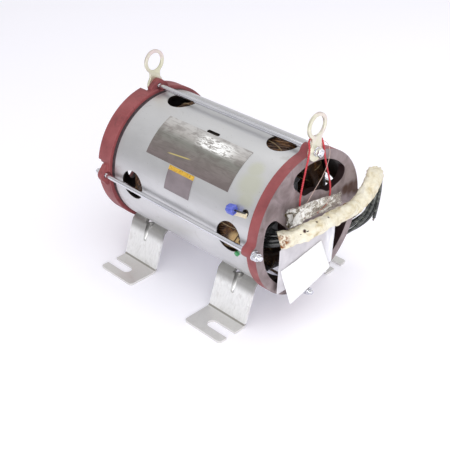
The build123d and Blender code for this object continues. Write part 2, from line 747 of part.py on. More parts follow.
def build_wire_nut():
    route = protector_route()
    axis = Vector(*route[-1]) - Vector(*route[-2])
    mouth = Plane(origin=route[-1], z_dir=axis)
    tip = mouth.offset(wire_nut_length)
    return loft(Sketch() + [mouth * Circle(wire_nut_mouth_r), tip * Circle(wire_nut_tip_r)])


def build_ground_screw():
    head = Pos(0, 0, shell_outer_r) * extrude(RegularPolygon(ground_head_r, 6), ground_head_depth)
    shank = Pos(0, 0, shell_outer_r - ground_shank_depth / 2) * Cylinder(ground_shank_r, ground_shank_depth)
    return on_axis(Pos(ground_screw_x, 0, 0) * Rot(ground_screw_angle - 90, 0, 0) * (head + shank))


def film_mouth(place_y, span_z, inset):
    """Flat oval section of the film tube."""
    centre = (lead_face_x + film_setoff + film_depth / 2, place_y, shaft_height + sum(span_z) / 2)
    plane = Plane(origin=centre, x_dir=(1, 0, 0), z_dir=(0, 1, 0))
    return plane * SlotOverall(span_z[1] - span_z[0] - 2 * inset, film_depth - 2 * inset, rotation=90)


def build_film():
    """Open tube of clear film, pressed flat, higher at its left mouth."""
    left, right = film_y
    outer = loft(Sketch() + [film_mouth(left, film_left_z, 0), film_mouth(right, film_right_z, 0)])
    inner = loft(Sketch() + [film_mouth(left - film_end_overlap, film_left_z, film_wall),
                             film_mouth(right + film_end_overlap, film_right_z, film_wall)])
    return outer - inner


def build_card(place_x, corners):
    outline = Polyline(*[(place_y, shaft_height + place_z) for place_y, place_z in corners], close=True)
    return lay_x(make_face(outline), place_x, place_x + card_depth)


pieces = {
    "shell": build_shell(),
    "joint_ring": build_joint_ring(),
    "stator_core": build_stator_core(),
    "stator_winding": build_winding(),
    "drive_end_bell": build_drive_bell(),
    "lead_end_bell": build_lead_bell(),
    "tie_rods": build_rods(),
    "lead_end_washers": build_washers(seats(lead_face_x, 1)),
    "lead_end_nuts": build_nuts([s + washer_depth for s in seats(lead_face_x, 1)]),
    "drive_end_washers": build_washers([s - washer_depth for s in seats(drive_lug_back_x, -1)]),
    "drive_end_nuts": build_nuts([s - washer_depth - nut_depth for s in seats(drive_lug_back_x, -1)]),
    "lifting_eye_lead": build_eye(lead_face_x),
    "lifting_eye_drive": build_eye(drive_lug_back_x - eye_depth),
    "foot_lead_left": build_foot(-1, 1),
    "foot_lead_right": build_foot(1, 1),
    "foot_drive_left": build_foot(-1, -1),
    "foot_drive_right": build_foot(1, -1),
    "drive_bearing_outer": build_race_outer(drive_bearing_x, drive_bearing_outer_r, drive_pitch_r, drive_ball_r,
                                            drive_bearing_width),
    "drive_bearing_inner": build_race_inner(drive_bearing_x, drive_bearing_bore_r, drive_pitch_r, drive_ball_r,
                                            drive_bearing_width),
    "drive_bearing_balls": build_balls(drive_bearing_x, drive_pitch_r, drive_ball_r),
    "drive_bearing_cage": build_cage(drive_bearing_x, drive_pitch_r, drive_ball_r),
    "lead_bearing_outer": build_race_outer(lead_bearing_x, lead_bearing_outer_r, lead_pitch_r, lead_ball_r,
                                           lead_bearing_width),
    "lead_bearing_inner": build_race_inner(lead_bearing_x, lead_bearing_bore_r, lead_pitch_r, lead_ball_r,
                                           lead_bearing_width),
    "lead_bearing_balls": build_balls(lead_bearing_x, lead_pitch_r, lead_ball_r),
    "lead_bearing_cage": build_cage(lead_bearing_x, lead_pitch_r, lead_ball_r),
    "wave_spring": build_wave_spring(),
    "snap_ring": build_snap_ring(),
    "shaft": build_shaft(),
    "shaft_key": build_key(),
    "rotor_core": build_rotor_core(),
    "end_ring_drive": build_end_ring(stack_drive_x, -1),
    "end_ring_lead": build_end_ring(stack_lead_x, 1),
    "nameplate": curved_plate(nameplate_x, nameplate_angles, plate_depth),
    "data_sticker": curved_plate(sticker_x, sticker_angles, sticker_depth),
    "lead_sleeve": build_sleeve(),
    "protector_lead": cord("protector", protector_route(), protector_r),
    "wire_nut": build_wire_nut(),
    "tape_strip": curved_plate(tape_x, tape_angles, tape_depth),
    "ground_screw": build_ground_screw(),
    "tie_cord": cord("tie", hung(tie_stations), tie_r),
    "tag_wire": cord("tag wire", hung(wire_stations), wire_r),
    "film_tube": build_film(),
    "rear_tag": build_card(rear_card_x, rear_card_yz),
    "front_tag": build_card(front_card_x, front_card_yz),
}
for lead_index in range(6):
    pieces["lead_" + str(lead_index + 1)] = build_lead(lead_index)

os.makedirs("parts", exist_ok=True)
for name, shape in pieces.items():
    export_step(shape, "parts/" + name + ".step")
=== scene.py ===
from math import cos, pi, radians, sin, tau

import bmesh
import bpy
from mathutils import Matrix, Vector, noise


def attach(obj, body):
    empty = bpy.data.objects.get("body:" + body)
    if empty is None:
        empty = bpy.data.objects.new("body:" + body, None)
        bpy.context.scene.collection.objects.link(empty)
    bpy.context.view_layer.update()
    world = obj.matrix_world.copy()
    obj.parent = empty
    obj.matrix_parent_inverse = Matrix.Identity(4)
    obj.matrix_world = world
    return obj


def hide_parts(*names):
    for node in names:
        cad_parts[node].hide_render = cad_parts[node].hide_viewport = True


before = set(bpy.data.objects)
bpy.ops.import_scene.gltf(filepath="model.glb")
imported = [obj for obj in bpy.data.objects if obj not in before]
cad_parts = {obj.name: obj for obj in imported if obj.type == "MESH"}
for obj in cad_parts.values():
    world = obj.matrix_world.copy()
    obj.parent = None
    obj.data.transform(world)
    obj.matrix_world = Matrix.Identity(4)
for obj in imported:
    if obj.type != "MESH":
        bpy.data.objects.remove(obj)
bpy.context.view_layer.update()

# Viewpoint: where the photographer stood, off the lead end's near corner and a little above the lifting eyes.
# A 68 mm lens on a full frame sees the whole motor with white paper round it.
def put_in(name, data):
    """New object in the scene, at the origin."""
    thing = bpy.data.objects.new(name, data)
    bpy.context.collection.objects.link(thing)
    return thing


view = bpy.data.cameras.new("view")
view.lens = 67.58
view.sensor_width = 36.0
view_stand = put_in("view", view)
view_stand.matrix_world = Matrix((
    (0.70958, -0.37588, 0.59600, 0.96894),
    (0.70461, 0.37221, -0.60414, -0.98116),
    (0.00525, 0.84863, 0.52896, 0.95279),
    (0.0, 0.0, 0.0, 1.0)))
bpy.context.scene.camera = view_stand
bpy.context.scene.view_settings.view_transform = "Standard"


# Motor leads: six stranded wires in black rubbery insulation, tied to the winding and led out of the left window,
# through the sleeve, round the right side and down to the floor, where their ends are cut back and stripped.
def paint(red, green, blue):
    """Colour as a paint chip gives it, 0 to 255, in the linear values that shaders take."""
    return tuple(value / 255 / 12.92 if value <= 10 else ((value / 255 + 0.055) / 1.055) ** 2.4
                 for value in (red, green, blue))


def finish(name, colour, metallic=0.0, roughness=0.5, specular=0.5):
    """New material; what is the same all over sits on the shader's own sockets."""
    material = bpy.data.materials.new(name)
    material.use_nodes = True
    shader = material.node_tree.nodes["Principled BSDF"]
    shader.inputs["Base Color"].default_value = (*colour, 1.0)
    shader.inputs["Metallic"].default_value = metallic
    shader.inputs["Roughness"].default_value = roughness
    shader.inputs["Specular IOR Level"].default_value = specular
    return material


def mottle(material, patch, detail=4.0, stretch=(1.0, 1.0, 1.0), start=(0.0, 0.0, 0.0), coarse=0.55, warp=0.0):
    """Cloudy pattern fixed to the piece; patch is the width of one cloud in metres."""
    nodes, links = material.node_tree.nodes, material.node_tree.links
    place = nodes.new("ShaderNodeTexCoord")
    mapping = nodes.new("ShaderNodeMapping")
    mapping.inputs["Location"].default_value = start
    mapping.inputs["Scale"].default_value = [1.0 / (patch * share) for share in stretch]
    cloud = nodes.new("ShaderNodeTexNoise")
    cloud.inputs["Scale"].default_value = 1.0
    cloud.inputs["Detail"].default_value = detail
    cloud.inputs["Roughness"].default_value = coarse
    cloud.inputs["Distortion"].default_value = warp
    links.new(place.outputs["Object"], mapping.inputs["Vector"])
    links.new(mapping.outputs["Vector"], cloud.inputs["Vector"])
    return cloud.outputs["Fac"]


def shades(material, value, stops):
    """Colours laid along a value: stops are (value, colour)."""
    ramp = material.node_tree.nodes.new("ShaderNodeValToRGB")
    band = ramp.color_ramp
    while len(band.elements) < len(stops):
        band.elements.new(0.5)
    for element, (position, colour) in zip(band.elements, stops):
        element.position = position
        element.color = (*colour, 1.0)
    material.node_tree.links.new(value, ramp.inputs["Fac"])
    return ramp.outputs["Color"]


def spread(material, value, low, high, to_low=0.0, to_high=1.0):
    """A value stretched from one range onto another, and held at its ends."""
    stretch = material.node_tree.nodes.new("ShaderNodeMapRange")
    stretch.interpolation_type = "SMOOTHSTEP"
    material.node_tree.links.new(value, stretch.inputs["Value"])
    for socket, amount in zip(("From Min", "From Max", "To Min", "To Max"), (low, high, to_low, to_high)):
        stretch.inputs[socket].default_value = amount
    return stretch.outputs["Result"]


def feed(material, socket, value):
    """Leads a pattern into one of the shader's sockets."""
    material.node_tree.links.new(value, material.node_tree.nodes["Principled BSDF"].inputs[socket])


def relief(material, height, depth, under=None):
    """Fine surface relief from a pattern, depth in metres."""
    bump = material.node_tree.nodes.new("ShaderNodeBump")
    bump.inputs["Distance"].default_value = depth
    material.node_tree.links.new(height, bump.inputs["Height"])
    if under:
        material.node_tree.links.new(under, bump.inputs["Normal"])
    feed(material, "Normal", bump.outputs["Normal"])
    return bump.outputs["Normal"]


def spline(name, points, thickness):
    """Smooth round cord whose control points are the corners of its route."""
    curve = bpy.data.curves.new(name, "CURVE")
    curve.dimensions = "3D"
    line = curve.splines.new("NURBS")
    line.points.add(len(points) - 1)
    for point, place in zip(line.points, points):
        point.co = (*place, 1.0)
    line.order_u = 3
    line.use_endpoint_u = True
    line.resolution_u = 14
    curve.bevel_depth = thickness / 2
    curve.bevel_resolution = 5
    curve.use_fill_caps = True
    return put_in(name, curve)


def coordinate(material, axis):
    """Place along X, Y or Z on the piece itself, in metres."""
    nodes, links = material.node_tree.nodes, material.node_tree.links
    place = nodes.new("ShaderNodeTexCoord")
    split = nodes.new("ShaderNodeSeparateXYZ")
    links.new(place.outputs["Object"], split.inputs["Vector"])
    return split.outputs[axis]


def over(material, ground, colour, mask):
    """A colour, or a pattern of colours, laid over another where the mask is."""
    mix = material.node_tree.nodes.new("ShaderNodeMix")
    mix.data_type = "RGBA"
    for socket, value in ((mix.inputs[6], ground), (mix.inputs[7], colour), (mix.inputs[0], mask)):
        if isinstance(value, tuple):
            socket.default_value = (*value, 1.0)
        else:
            material.node_tree.links.new(value, socket)
    return mix.outputs[2]


def two_shades(material, pattern, dark, light):
    """Base colour that drifts from one shade to another with a pattern."""
    feed(material, "Base Color", shades(material, pattern, [(0.3, paint(*dark)), (0.7, paint(*light))]))


lead_insulation = finish("lead_insulation", paint(30, 33, 32), roughness=0.36, specular=0.7)
# Pale streaks in the insulation's mottle are partly dust and partly a painted sheen.
dust_and_sheen = mottle(lead_insulation, 0.006, stretch=(3.0, 3.0, 1.0))
lead_grey = shades(lead_insulation, dust_and_sheen, [(0.3, paint(28, 31, 30)), (0.52, paint(58, 62, 59)),
                                            (0.75, paint(118, 122, 114))])
# Painted shade: the leads darken towards the left window and are near black where they come out of it.
painted_shade_inside = spread(lead_insulation, coordinate(lead_insulation, "Y"), -0.07, 0.1, 0.85, 0.0)
feed(lead_insulation, "Base Color", over(lead_insulation, lead_grey, paint(9, 9, 10), painted_shade_inside))
feed(lead_insulation, "Roughness", spread(lead_insulation, dust_and_sheen, 0.35, 0.75, 0.22, 0.46))
relief(lead_insulation, mottle(lead_insulation, 0.0012), 0.00008)

lead_diameter = 0.0065
lead_routes = {
    "lead_1": (0.657, [(0.151, -0.0912, 0.1905), (0.189, -0.0912, 0.1909), (0.2238, -0.0527, 0.2014),
                       (0.2282, 0.0164, 0.2033), (0.2306, 0.1032, 0.1945), (0.2218, 0.1536, 0.2334),
                       (0.1977, 0.188, 0.2113), (0.1869, 0.1941, 0.1335), (0.1569, 0.1773, 0.0923),
                       (0.0967, 0.1529, 0.0516), (0.0603, 0.1459, 0.0237), (0.012, 0.1497, 0.0237)]),
    "lead_2": (0.667, [(0.151, -0.097, 0.1973), (0.1912, -0.097, 0.1948), (0.2288, -0.0554, 0.2056),
                       (0.2334, 0.0163, 0.2077), (0.2358, 0.1022, 0.1989), (0.2267, 0.1551, 0.2385),
                       (0.202, 0.195, 0.2121), (0.1945, 0.2025, 0.1281), (0.1583, 0.1791, 0.0838),
                       (0.0996, 0.1591, 0.0444), (0.0609, 0.1518, 0.0206), (0.0264, 0.1546, 0.0206)]),
    "lead_3": (0.699, [(0.151, -0.1048, 0.1855), (0.1942, -0.1028, 0.1885), (0.235, -0.0577, 0.2032),
                       (0.2397, 0.0159, 0.2053), (0.2422, 0.103, 0.1964), (0.2325, 0.1572, 0.2371),
                       (0.2092, 0.1975, 0.2106), (0.2045, 0.2045, 0.1252), (0.1722, 0.19, 0.0759),
                       (0.106, 0.1585, 0.034), (0.0627, 0.1519, 0.0139), (0.0175, 0.1556, 0.0139)]),
    "lead_4": (0.472, [(0.151, -0.1058, 0.1785), (0.195, -0.1028, 0.1816), (0.2362, -0.0573, 0.1966),
                       (0.2408, 0.0156, 0.1987), (0.2434, 0.1048, 0.1895), (0.2332, 0.1584, 0.2306),
                       (0.2124, 0.195, 0.2066), (0.212, 0.197, 0.16), (0.2085, 0.192, 0.118)]),
    "lead_5": (0.671, [(0.151, -0.098, 0.1685), (0.1928, -0.097, 0.1745), (0.2312, -0.0546, 0.1924),
                       (0.2356, 0.0157, 0.1943), (0.2382, 0.1058, 0.1851), (0.2293, 0.1569, 0.2245),
                       (0.211, 0.187, 0.2039), (0.2041, 0.1894, 0.1269), (0.1716, 0.162, 0.0771),
                       (0.11, 0.1443, 0.0333), (0.0631, 0.1402, 0.0134), (0.0205, 0.1436, 0.0134)]),
    "lead_6": (0.638, [(0.151, -0.0902, 0.174), (0.1898, -0.0912, 0.1795), (0.225, -0.0523, 0.1948),
                       (0.2293, 0.0161, 0.1967), (0.2318, 0.105, 0.1876), (0.2231, 0.1545, 0.2259),
                       (0.2034, 0.185, 0.2064), (0.1986, 0.1891, 0.1318), (0.1697, 0.1648, 0.085),
                       (0.1036, 0.1448, 0.0436), (0.0613, 0.1401, 0.0201), (0.0305, 0.1425, 0.0201)]),
}
for lead_name, (lead_length, lead_corners) in lead_routes.items():
    lead = spline("wire_" + lead_name, lead_corners, lead_diameter)
    lead.data.materials.append(lead_insulation)
    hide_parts(lead_name)
    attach(lead, "frame")


# Insulating sleeve: a wide woven glass tube in cream varnish, slid over the six leads and never tied down.
# It is flattened and creased where it was handled, stained brown with oil, and frays at its cut ends.
def followed(points):
    """Places along a route's smooth line, read from the line itself."""
    guide = spline("guide", points, 0.0)
    sampled = bpy.data.meshes.new_from_object(guide.evaluated_get(bpy.context.evaluated_depsgraph_get()))
    places = [vertex.co.copy() for vertex in sampled.vertices]
    bpy.data.meshes.remove(sampled)
    bpy.data.objects.remove(guide)
    return places


def evened(places, count):
    """The same line in equal steps."""
    walked = [0.0]
    for before, after in zip(places, places[1:]):
        walked.append(walked[-1] + (after - before).length)
    even = []
    index = 0
    for step in range(count):
        target = walked[-1] * step / (count - 1)
        while index < len(places) - 2 and walked[index + 1] < target:
            index += 1
        share = (target - walked[index]) / max(walked[index + 1] - walked[index], 1e-9)
        even.append(places[index].lerp(places[index + 1], min(share, 1.0)))
    return even


def finished_mesh(name, drawn):
    """Mesh of what was drawn; the drawing itself is put away."""
    mesh = bpy.data.meshes.new(name)
    drawn.to_mesh(mesh)
    drawn.free()
    return mesh


def tube_along(name, places, sides, radius_at, capped=False):
    """Tube whose radius is a function of the way along, 0 to 1, and of the angle round it; carries a UV map."""
    drawn = bmesh.new()
    uv = drawn.loops.layers.uv.new("round and along")
    rings = []
    up = Vector((0, 0, 1))
    for index, place in enumerate(places):
        ahead = places[min(index + 1, len(places) - 1)] - places[max(index - 1, 0)]
        ahead.normalize()
        across = (up - ahead * up.dot(ahead)).normalized()
        up = across
        other = ahead.cross(across)
        share = index / (len(places) - 1)
        ring = []
        for side in range(sides):
            angle = tau * side / sides
            reach = radius_at(share, angle)
            ring.append(drawn.verts.new(place + (across * cos(angle) + other * sin(angle)) * reach))
        rings.append(ring)
    for row, (ring, following) in enumerate(zip(rings, rings[1:])):
        for side in range(sides):
            beyond = (side + 1) % sides
            face = drawn.faces.new((ring[side], ring[beyond], following[beyond], following[side]))
            face.smooth = True
            corners = ((side, row), (side + 1, row), (side + 1, row + 1), (side, row + 1))
            for loop, (turn, step) in zip(face.loops, corners):
                loop[uv].uv = (turn / sides, step / (len(places) - 1))
    if capped:
        drawn.faces.new(list(reversed(rings[0])))
        drawn.faces.new(rings[-1])
    return put_in(name, finished_mesh(name, drawn))


def thicken(piece, label, thickness):
    """Wall of a thin skin, built inwards."""
    wall = piece.modifiers.new(label, "SOLIDIFY")
    wall.thickness = thickness
    wall.offset = -1.0


def worked(material, how, first, second):
    """Two values put together by one sum."""
    sum_node = material.node_tree.nodes.new("ShaderNodeMath")
    sum_node.operation = how
    for socket, value in zip(sum_node.inputs, (first, second)):
        if isinstance(value, (int, float)):
            socket.default_value = value
        else:
            material.node_tree.links.new(value, socket)
    return sum_node.outputs["Value"]


def marked(material, places):
    """How near the surface is to the nearest of some marks, 1 on a mark; a mark is (place, reach)."""
    nodes, links = material.node_tree.nodes, material.node_tree.links
    place = nodes.new("ShaderNodeTexCoord")
    found = None
    for centre, reach in places:
        away = nodes.new("ShaderNodeVectorMath")
        away.operation = "DISTANCE"
        links.new(place.outputs["Object"], away.inputs[0])
        away.inputs[1].default_value = centre
        near = spread(material, away.outputs["Value"], reach * 0.35, reach, 1.0, 0.0)
        found = worked(material, "MAXIMUM", found, near) if found else near
    return found


sleeve_cloth = finish("sleeve_cloth", paint(235, 225, 195), roughness=0.72, specular=0.3)
cloth_uv = sleeve_cloth.node_tree.nodes.new("ShaderNodeUVMap")
cloth_uv.uv_map = "round and along"
weave_turn = sleeve_cloth.node_tree.nodes.new("ShaderNodeMapping")
weave_turn.inputs["Scale"].default_value = (34.0, 110.0, 1.0)
weave_turn.inputs["Rotation"].default_value = (0.0, 0.0, radians(45))
weave = sleeve_cloth.node_tree.nodes.new("ShaderNodeTexChecker")
weave.inputs["Scale"].default_value = 1.0
sleeve_cloth.node_tree.links.new(cloth_uv.outputs["UV"], weave_turn.inputs["Vector"])
sleeve_cloth.node_tree.links.new(weave_turn.outputs["Vector"], weave.inputs["Vector"])
yellowed = shades(sleeve_cloth, mottle(sleeve_cloth, 0.02, detail=6.0, start=(3.1, 0.4, 1.7), warp=0.6), [
    (0.30, paint(238, 234, 219)), (0.52, paint(229, 221, 198)),
    (0.66, paint(208, 193, 156)), (0.80, paint(178, 155, 112))])
grime = mottle(sleeve_cloth, 0.009, detail=7.0, start=(9.0, 2.0, 4.0), warp=1.0)
soiled = over(sleeve_cloth, yellowed, paint(176, 150, 104), spread(sleeve_cloth, grime, 0.60, 0.72, 0.0, 0.5))
smeared = marked(sleeve_cloth, [((0.2213, -0.0827, 0.1970), 0.012), ((0.2197, -0.0903, 0.1895), 0.012),
                                ((0.2145, -0.0852, 0.2024), 0.010), ((0.2303, 0.0636, 0.2083), 0.009)])
ragged_edge = mottle(sleeve_cloth, 0.007, detail=7.0, start=(5.0, 4.0, 6.0), warp=1.4)
smeared = worked(sleeve_cloth, "MULTIPLY", smeared, spread(sleeve_cloth, ragged_edge, 0.38, 0.56))
soiled = over(sleeve_cloth, soiled, paint(132, 80, 38), smeared)
holed = marked(sleeve_cloth, [((0.2343, -0.0489, 0.2065), 0.0046), ((0.2352, -0.0184, 0.2126), 0.0036),
                              ((0.2390, 0.0074, 0.2123), 0.0032)])
feed(sleeve_cloth, "Base Color", over(sleeve_cloth, soiled, paint(58, 30, 28), holed))
creased = relief(sleeve_cloth, mottle(sleeve_cloth, 0.014, detail=4.0, warp=0.8), 0.005)
relief(sleeve_cloth, weave.outputs["Fac"], 0.0003, creased)

sleeve_route = [(0.2075, -0.0817, 0.1892), (0.2285, -0.057, 0.1972), (0.2345, 0.016, 0.2005), (0.2375, 0.1, 0.1965),
                (0.229, 0.1515, 0.2335), (0.2145, 0.169, 0.2235)]


def sleeve_radius(share, angle):
    """Loose cloth tube: wide and creased, narrower towards its right end."""
    slack = 0.0133 + 0.0012 * share + 0.0014 * max(0.0, 1.0 - share / 0.08)
    crease = noise.noise(Vector((share * 15.0, cos(angle) * 1.5, sin(angle) * 1.5)))
    pleat = noise.noise(Vector((share * 36.0, cos(angle) * 2.2 + 7.0, sin(angle) * 2.2)))
    flattened = 0.0009 * cos(2.0 * angle + 9.0 * share)
    ragged = 0.0011 * max(0.0, abs(share - 0.5) - 0.47) / 0.03 * sin(angle * 13 + share * 40.0)
    return slack + 0.0024 * crease + 0.0017 * pleat + flattened + ragged


sleeve = tube_along("sleeve", evened(followed(sleeve_route), 190), 56, sleeve_radius)
sleeve.data.materials.append(sleeve_cloth)
thicken(sleeve, "cloth thickness", 0.0006)
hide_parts("lead_sleeve")
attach(sleeve, "frame")


# Bared lead ends: the last 6 mm of each lead, stripped to its tinned copper strands and twisted.
# Each goes wherever its lead goes, and the sleeve goes with the first lead.
tinned_copper = finish("tinned_copper", paint(150, 144, 136), metallic=1.0, roughness=0.36)
two_shades(tinned_copper, mottle(tinned_copper, 0.003), (112, 100, 90), (168, 162, 154))


def twisted_strands(share, angle):
    """Seven strands show as ridges round the bared wire."""
    return 0.0016 + 0.0003 * cos(7 * angle - 5 * share)


for lead_name, (lead_length, lead_corners) in lead_routes.items():
    tip, before = Vector(lead_corners[-1]), Vector(lead_corners[-2])
    way = (tip - before).normalized()
    bare_line = [tip + way * (0.001 * step - 0.001) for step in range(8)]
    bare_end = tube_along("bare_end_" + lead_name, bare_line, 28, twisted_strands, capped=True)
    bare_end.data.materials.append(tinned_copper)
    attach(bare_end, "frame")


# Stator shell: steel plate rolled into a tube, seam-welded and left bare, with eight punched vent holes.
# It is dull and mottled from the mill, with handling marks and a thin brown film near the vents.
def eased(node_name, width, sharp=35):
    """A machined or pressed piece with its edges broken; it stands for its plain solid."""
    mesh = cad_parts[node_name].data.copy()
    mesh.name = "worked_" + node_name
    mesh.materials.clear()
    drawn = bmesh.new()
    drawn.from_mesh(mesh)
    bmesh.ops.remove_doubles(drawn, verts=drawn.verts, dist=1e-6)
    bmesh.ops.dissolve_limit(drawn, angle_limit=radians(0.6), verts=drawn.verts, edges=drawn.edges)
    drawn.to_mesh(mesh)
    drawn.free()
    mesh.set_sharp_from_angle(angle=radians(sharp))
    piece = put_in("worked_" + node_name, mesh)
    for polygon in mesh.polygons:
        polygon.use_smooth = True
    edge = piece.modifiers.new("broken edges", "BEVEL")
    edge.width = width
    edge.segments = 2
    edge.limit_method = "ANGLE"
    edge.angle_limit = radians(sharp)
    edge.harden_normals = True
    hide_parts(node_name)
    return piece


shaft_height, shell_radius = 0.1875, 0.13


def from_the_axis(material):
    """Distance from the shaft's centre line, in metres."""
    nodes, links = material.node_tree.nodes, material.node_tree.links
    across = nodes.new("ShaderNodeCombineXYZ")
    links.new(coordinate(material, "Y"), across.inputs["Y"])
    links.new(worked(material, "SUBTRACT", coordinate(material, "Z"), shaft_height), across.inputs["Z"])
    away = nodes.new("ShaderNodeVectorMath")
    away.operation = "LENGTH"
    links.new(across.outputs["Vector"], away.inputs[0])
    return away.outputs["Value"]


shell_steel = finish("shell_steel", paint(214, 214, 214), metallic=0.78, roughness=0.4)
mill_clouds = mottle(shell_steel, 0.09, detail=5.0, stretch=(2.2, 1.0, 1.0), warp=0.3)
rolled = mottle(shell_steel, 0.004, detail=3.0, stretch=(1.0, 7.0, 7.0))
shell_grey = shades(shell_steel, mill_clouds, [(0.25, paint(194, 194, 195)), (0.5, paint(210, 210, 211)),
                                               (0.75, paint(220, 220, 220))])
handled = mottle(shell_steel, 0.03, detail=8.0, start=(4.0, 2.0, 9.0), warp=1.4)
shell_grey = over(shell_steel, shell_grey, paint(168, 166, 158), spread(shell_steel, handled, 0.62, 0.76, 0.0, 0.35))
nicks = spread(shell_steel, mottle(shell_steel, 0.0026, detail=3.0, stretch=(2.0, 1.0, 1.0), start=(5.0, 5.0, 1.0)),
               0.68, 0.74, 0.0, 0.4)
shell_grey = over(shell_steel, shell_grey, paint(120, 116, 110), nicks)
within = spread(shell_steel, from_the_axis(shell_steel), shell_radius - 0.0008, shell_radius - 0.0001, 1.0, 0.0)
tinged = marked(shell_steel, [((0.1501, -0.0934, 0.2778), 0.034), ((0.1435, -0.0727, 0.2953), 0.022),
                              ((0.1563, -0.1090, 0.2584), 0.022)])
shell_grey = over(shell_steel, shell_grey, paint(204, 206, 172), worked(shell_steel, "MULTIPLY", tinged, 0.45))
feed(shell_steel, "Base Color", over(shell_steel, shell_grey, paint(66, 56, 52), within))
feed(shell_steel, "Roughness", spread(shell_steel, mill_clouds, 0.25, 0.75, 0.42, 0.3))
relief(shell_steel, rolled, 0.00005, relief(shell_steel, mill_clouds, 0.0003))
shell = eased("shell", 0.0005)
shell.data.materials.append(shell_steel)
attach(shell, "frame")


# Joint ring: a black fibre ring between the shell and the far bell.
# It is squeezed flush with the shell, and its outside is matt and a little ragged.
ring_fibre = finish("ring_fibre", paint(60, 50, 55), roughness=0.85)
fibre = mottle(ring_fibre, 0.003, stretch=(1.0, 4.0, 4.0))
two_shades(ring_fibre, fibre, (40, 33, 37), (78, 64, 68))
relief(ring_fibre, fibre, 0.0003)
joint_ring = eased("joint_ring", 0.0003)
joint_ring.data.materials.append(ring_fibre)
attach(joint_ring, "frame")


# End bells: grey iron castings in red oxide primer, with the lead end's outer face turned and left to dull.
# Cast skin shows as a fine pebble under the paint, and rims are rubbed down to the metal where they are handled.
def primed_iron(name, faced_from, faced_to, inside_from, inside_to):
    """Red primer on a cast skin: bare turned iron past the faced range of x, and dark inside the bell, dust with
    painted shade.
    """
    material = finish(name, paint(150, 74, 78), roughness=0.5)
    pebble = mottle(material, 0.0022, detail=5.0)
    drift = mottle(material, 0.05, detail=6.0, start=(1.0, 5.0, 2.0))
    primer = shades(material, drift, [(0.3, paint(115, 54, 58)), (0.5, paint(139, 69, 71)), (0.72, paint(154, 82, 84))])
    scorched = mottle(material, 0.02, detail=7.0, start=(6.0, 2.0, 8.0), warp=1.0)
    primer = over(material, primer, paint(96, 52, 56), spread(material, scorched, 0.58, 0.72, 0.0, 0.5))
    iron = shades(material, mottle(material, 0.03, detail=7.0, start=(8.0, 1.0, 3.0), warp=0.8),
                  [(0.28, paint(112, 98, 97)), (0.5, paint(142, 128, 129)), (0.68, paint(160, 147, 147))])
    burnt = marked(material, [((0.2048, 0.096, 0.216), 0.015), ((0.2048, 0.112, 0.214), 0.019),
                              ((0.2048, 0.127, 0.211), 0.022), ((0.2048, 0.136, 0.203), 0.016)])
    soot = spread(material, mottle(material, 0.012, detail=6.0), 0.3, 0.5, 0.7, 1.0)
    smudged = mottle(material, 0.02, detail=8.0, start=(2.0, 7.0, 4.0), warp=1.5)
    iron = over(material, iron, paint(104, 84, 74), spread(material, smudged, 0.62, 0.74, 0.0, 0.5))
    iron = over(material, iron, paint(80, 52, 38), worked(material, "MULTIPLY", burnt, soot))
    x = coordinate(material, "X")
    faced = spread(material, x, faced_from, faced_to)
    # Painted shade, with some dust: inside the bell and down its window walls the primer is painted near black.
    inside = worked(material, "MULTIPLY", spread(material, from_the_axis(material), 0.1205, 0.1235, 1.0, 0.0),
                    spread(material, x, inside_from, inside_to))
    primer = over(material, primer, paint(40, 25, 26), inside)
    feed(material, "Base Color", over(material, primer, iron, faced))
    feed(material, "Metallic", worked(material, "MULTIPLY", faced, 0.5))
    feed(material, "Roughness", spread(material, drift, 0.3, 0.7, 0.58, 0.42))
    relief(material, pebble, 0.00022)
    return material


lead_bell_iron = primed_iron("lead_bell_iron", faced_from=0.2040, faced_to=0.2046, inside_from=0.3, inside_to=0.2)
lead_bell = eased("lead_end_bell", 0.0009)
lead_bell.data.materials.append(lead_bell_iron)
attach(lead_bell, "frame")
drive_bell_iron = primed_iron("drive_bell_iron", faced_from=-0.2096, faced_to=-0.2101,
                              inside_from=-0.200, inside_to=-0.194)
drive_bell = eased("drive_end_bell", 0.0009)
drive_bell.data.materials.append(drive_bell_iron)
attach(drive_bell, "frame")


# Stator core: stamped laminations pressed into the shell and dipped in varnish.
# The stack's edges show as fine lines round it, and the teeth face the rotor.
def coated(node_name, material):
    """A plain solid that stays in view gets its finish."""
    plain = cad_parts[node_name]
    plain.data.materials.clear()
    plain.data.materials.append(material)


core_iron = finish("core_iron", paint(52, 46, 42), metallic=0.3, roughness=0.45)
two_shades(core_iron, mottle(core_iron, 0.012), (34, 29, 27), (72, 60, 50))
lamination = core_iron.node_tree.nodes.new("ShaderNodeTexWave")
lamination.inputs["Scale"].default_value = 320.0
core_place = core_iron.node_tree.nodes.new("ShaderNodeTexCoord")
core_iron.node_tree.links.new(core_place.outputs["Object"], lamination.inputs["Vector"])
relief(core_iron, lamination.outputs["Fac"], 0.0001)
for core_node in ("stator_core", "rotor_core"):
    coated(core_node, core_iron)


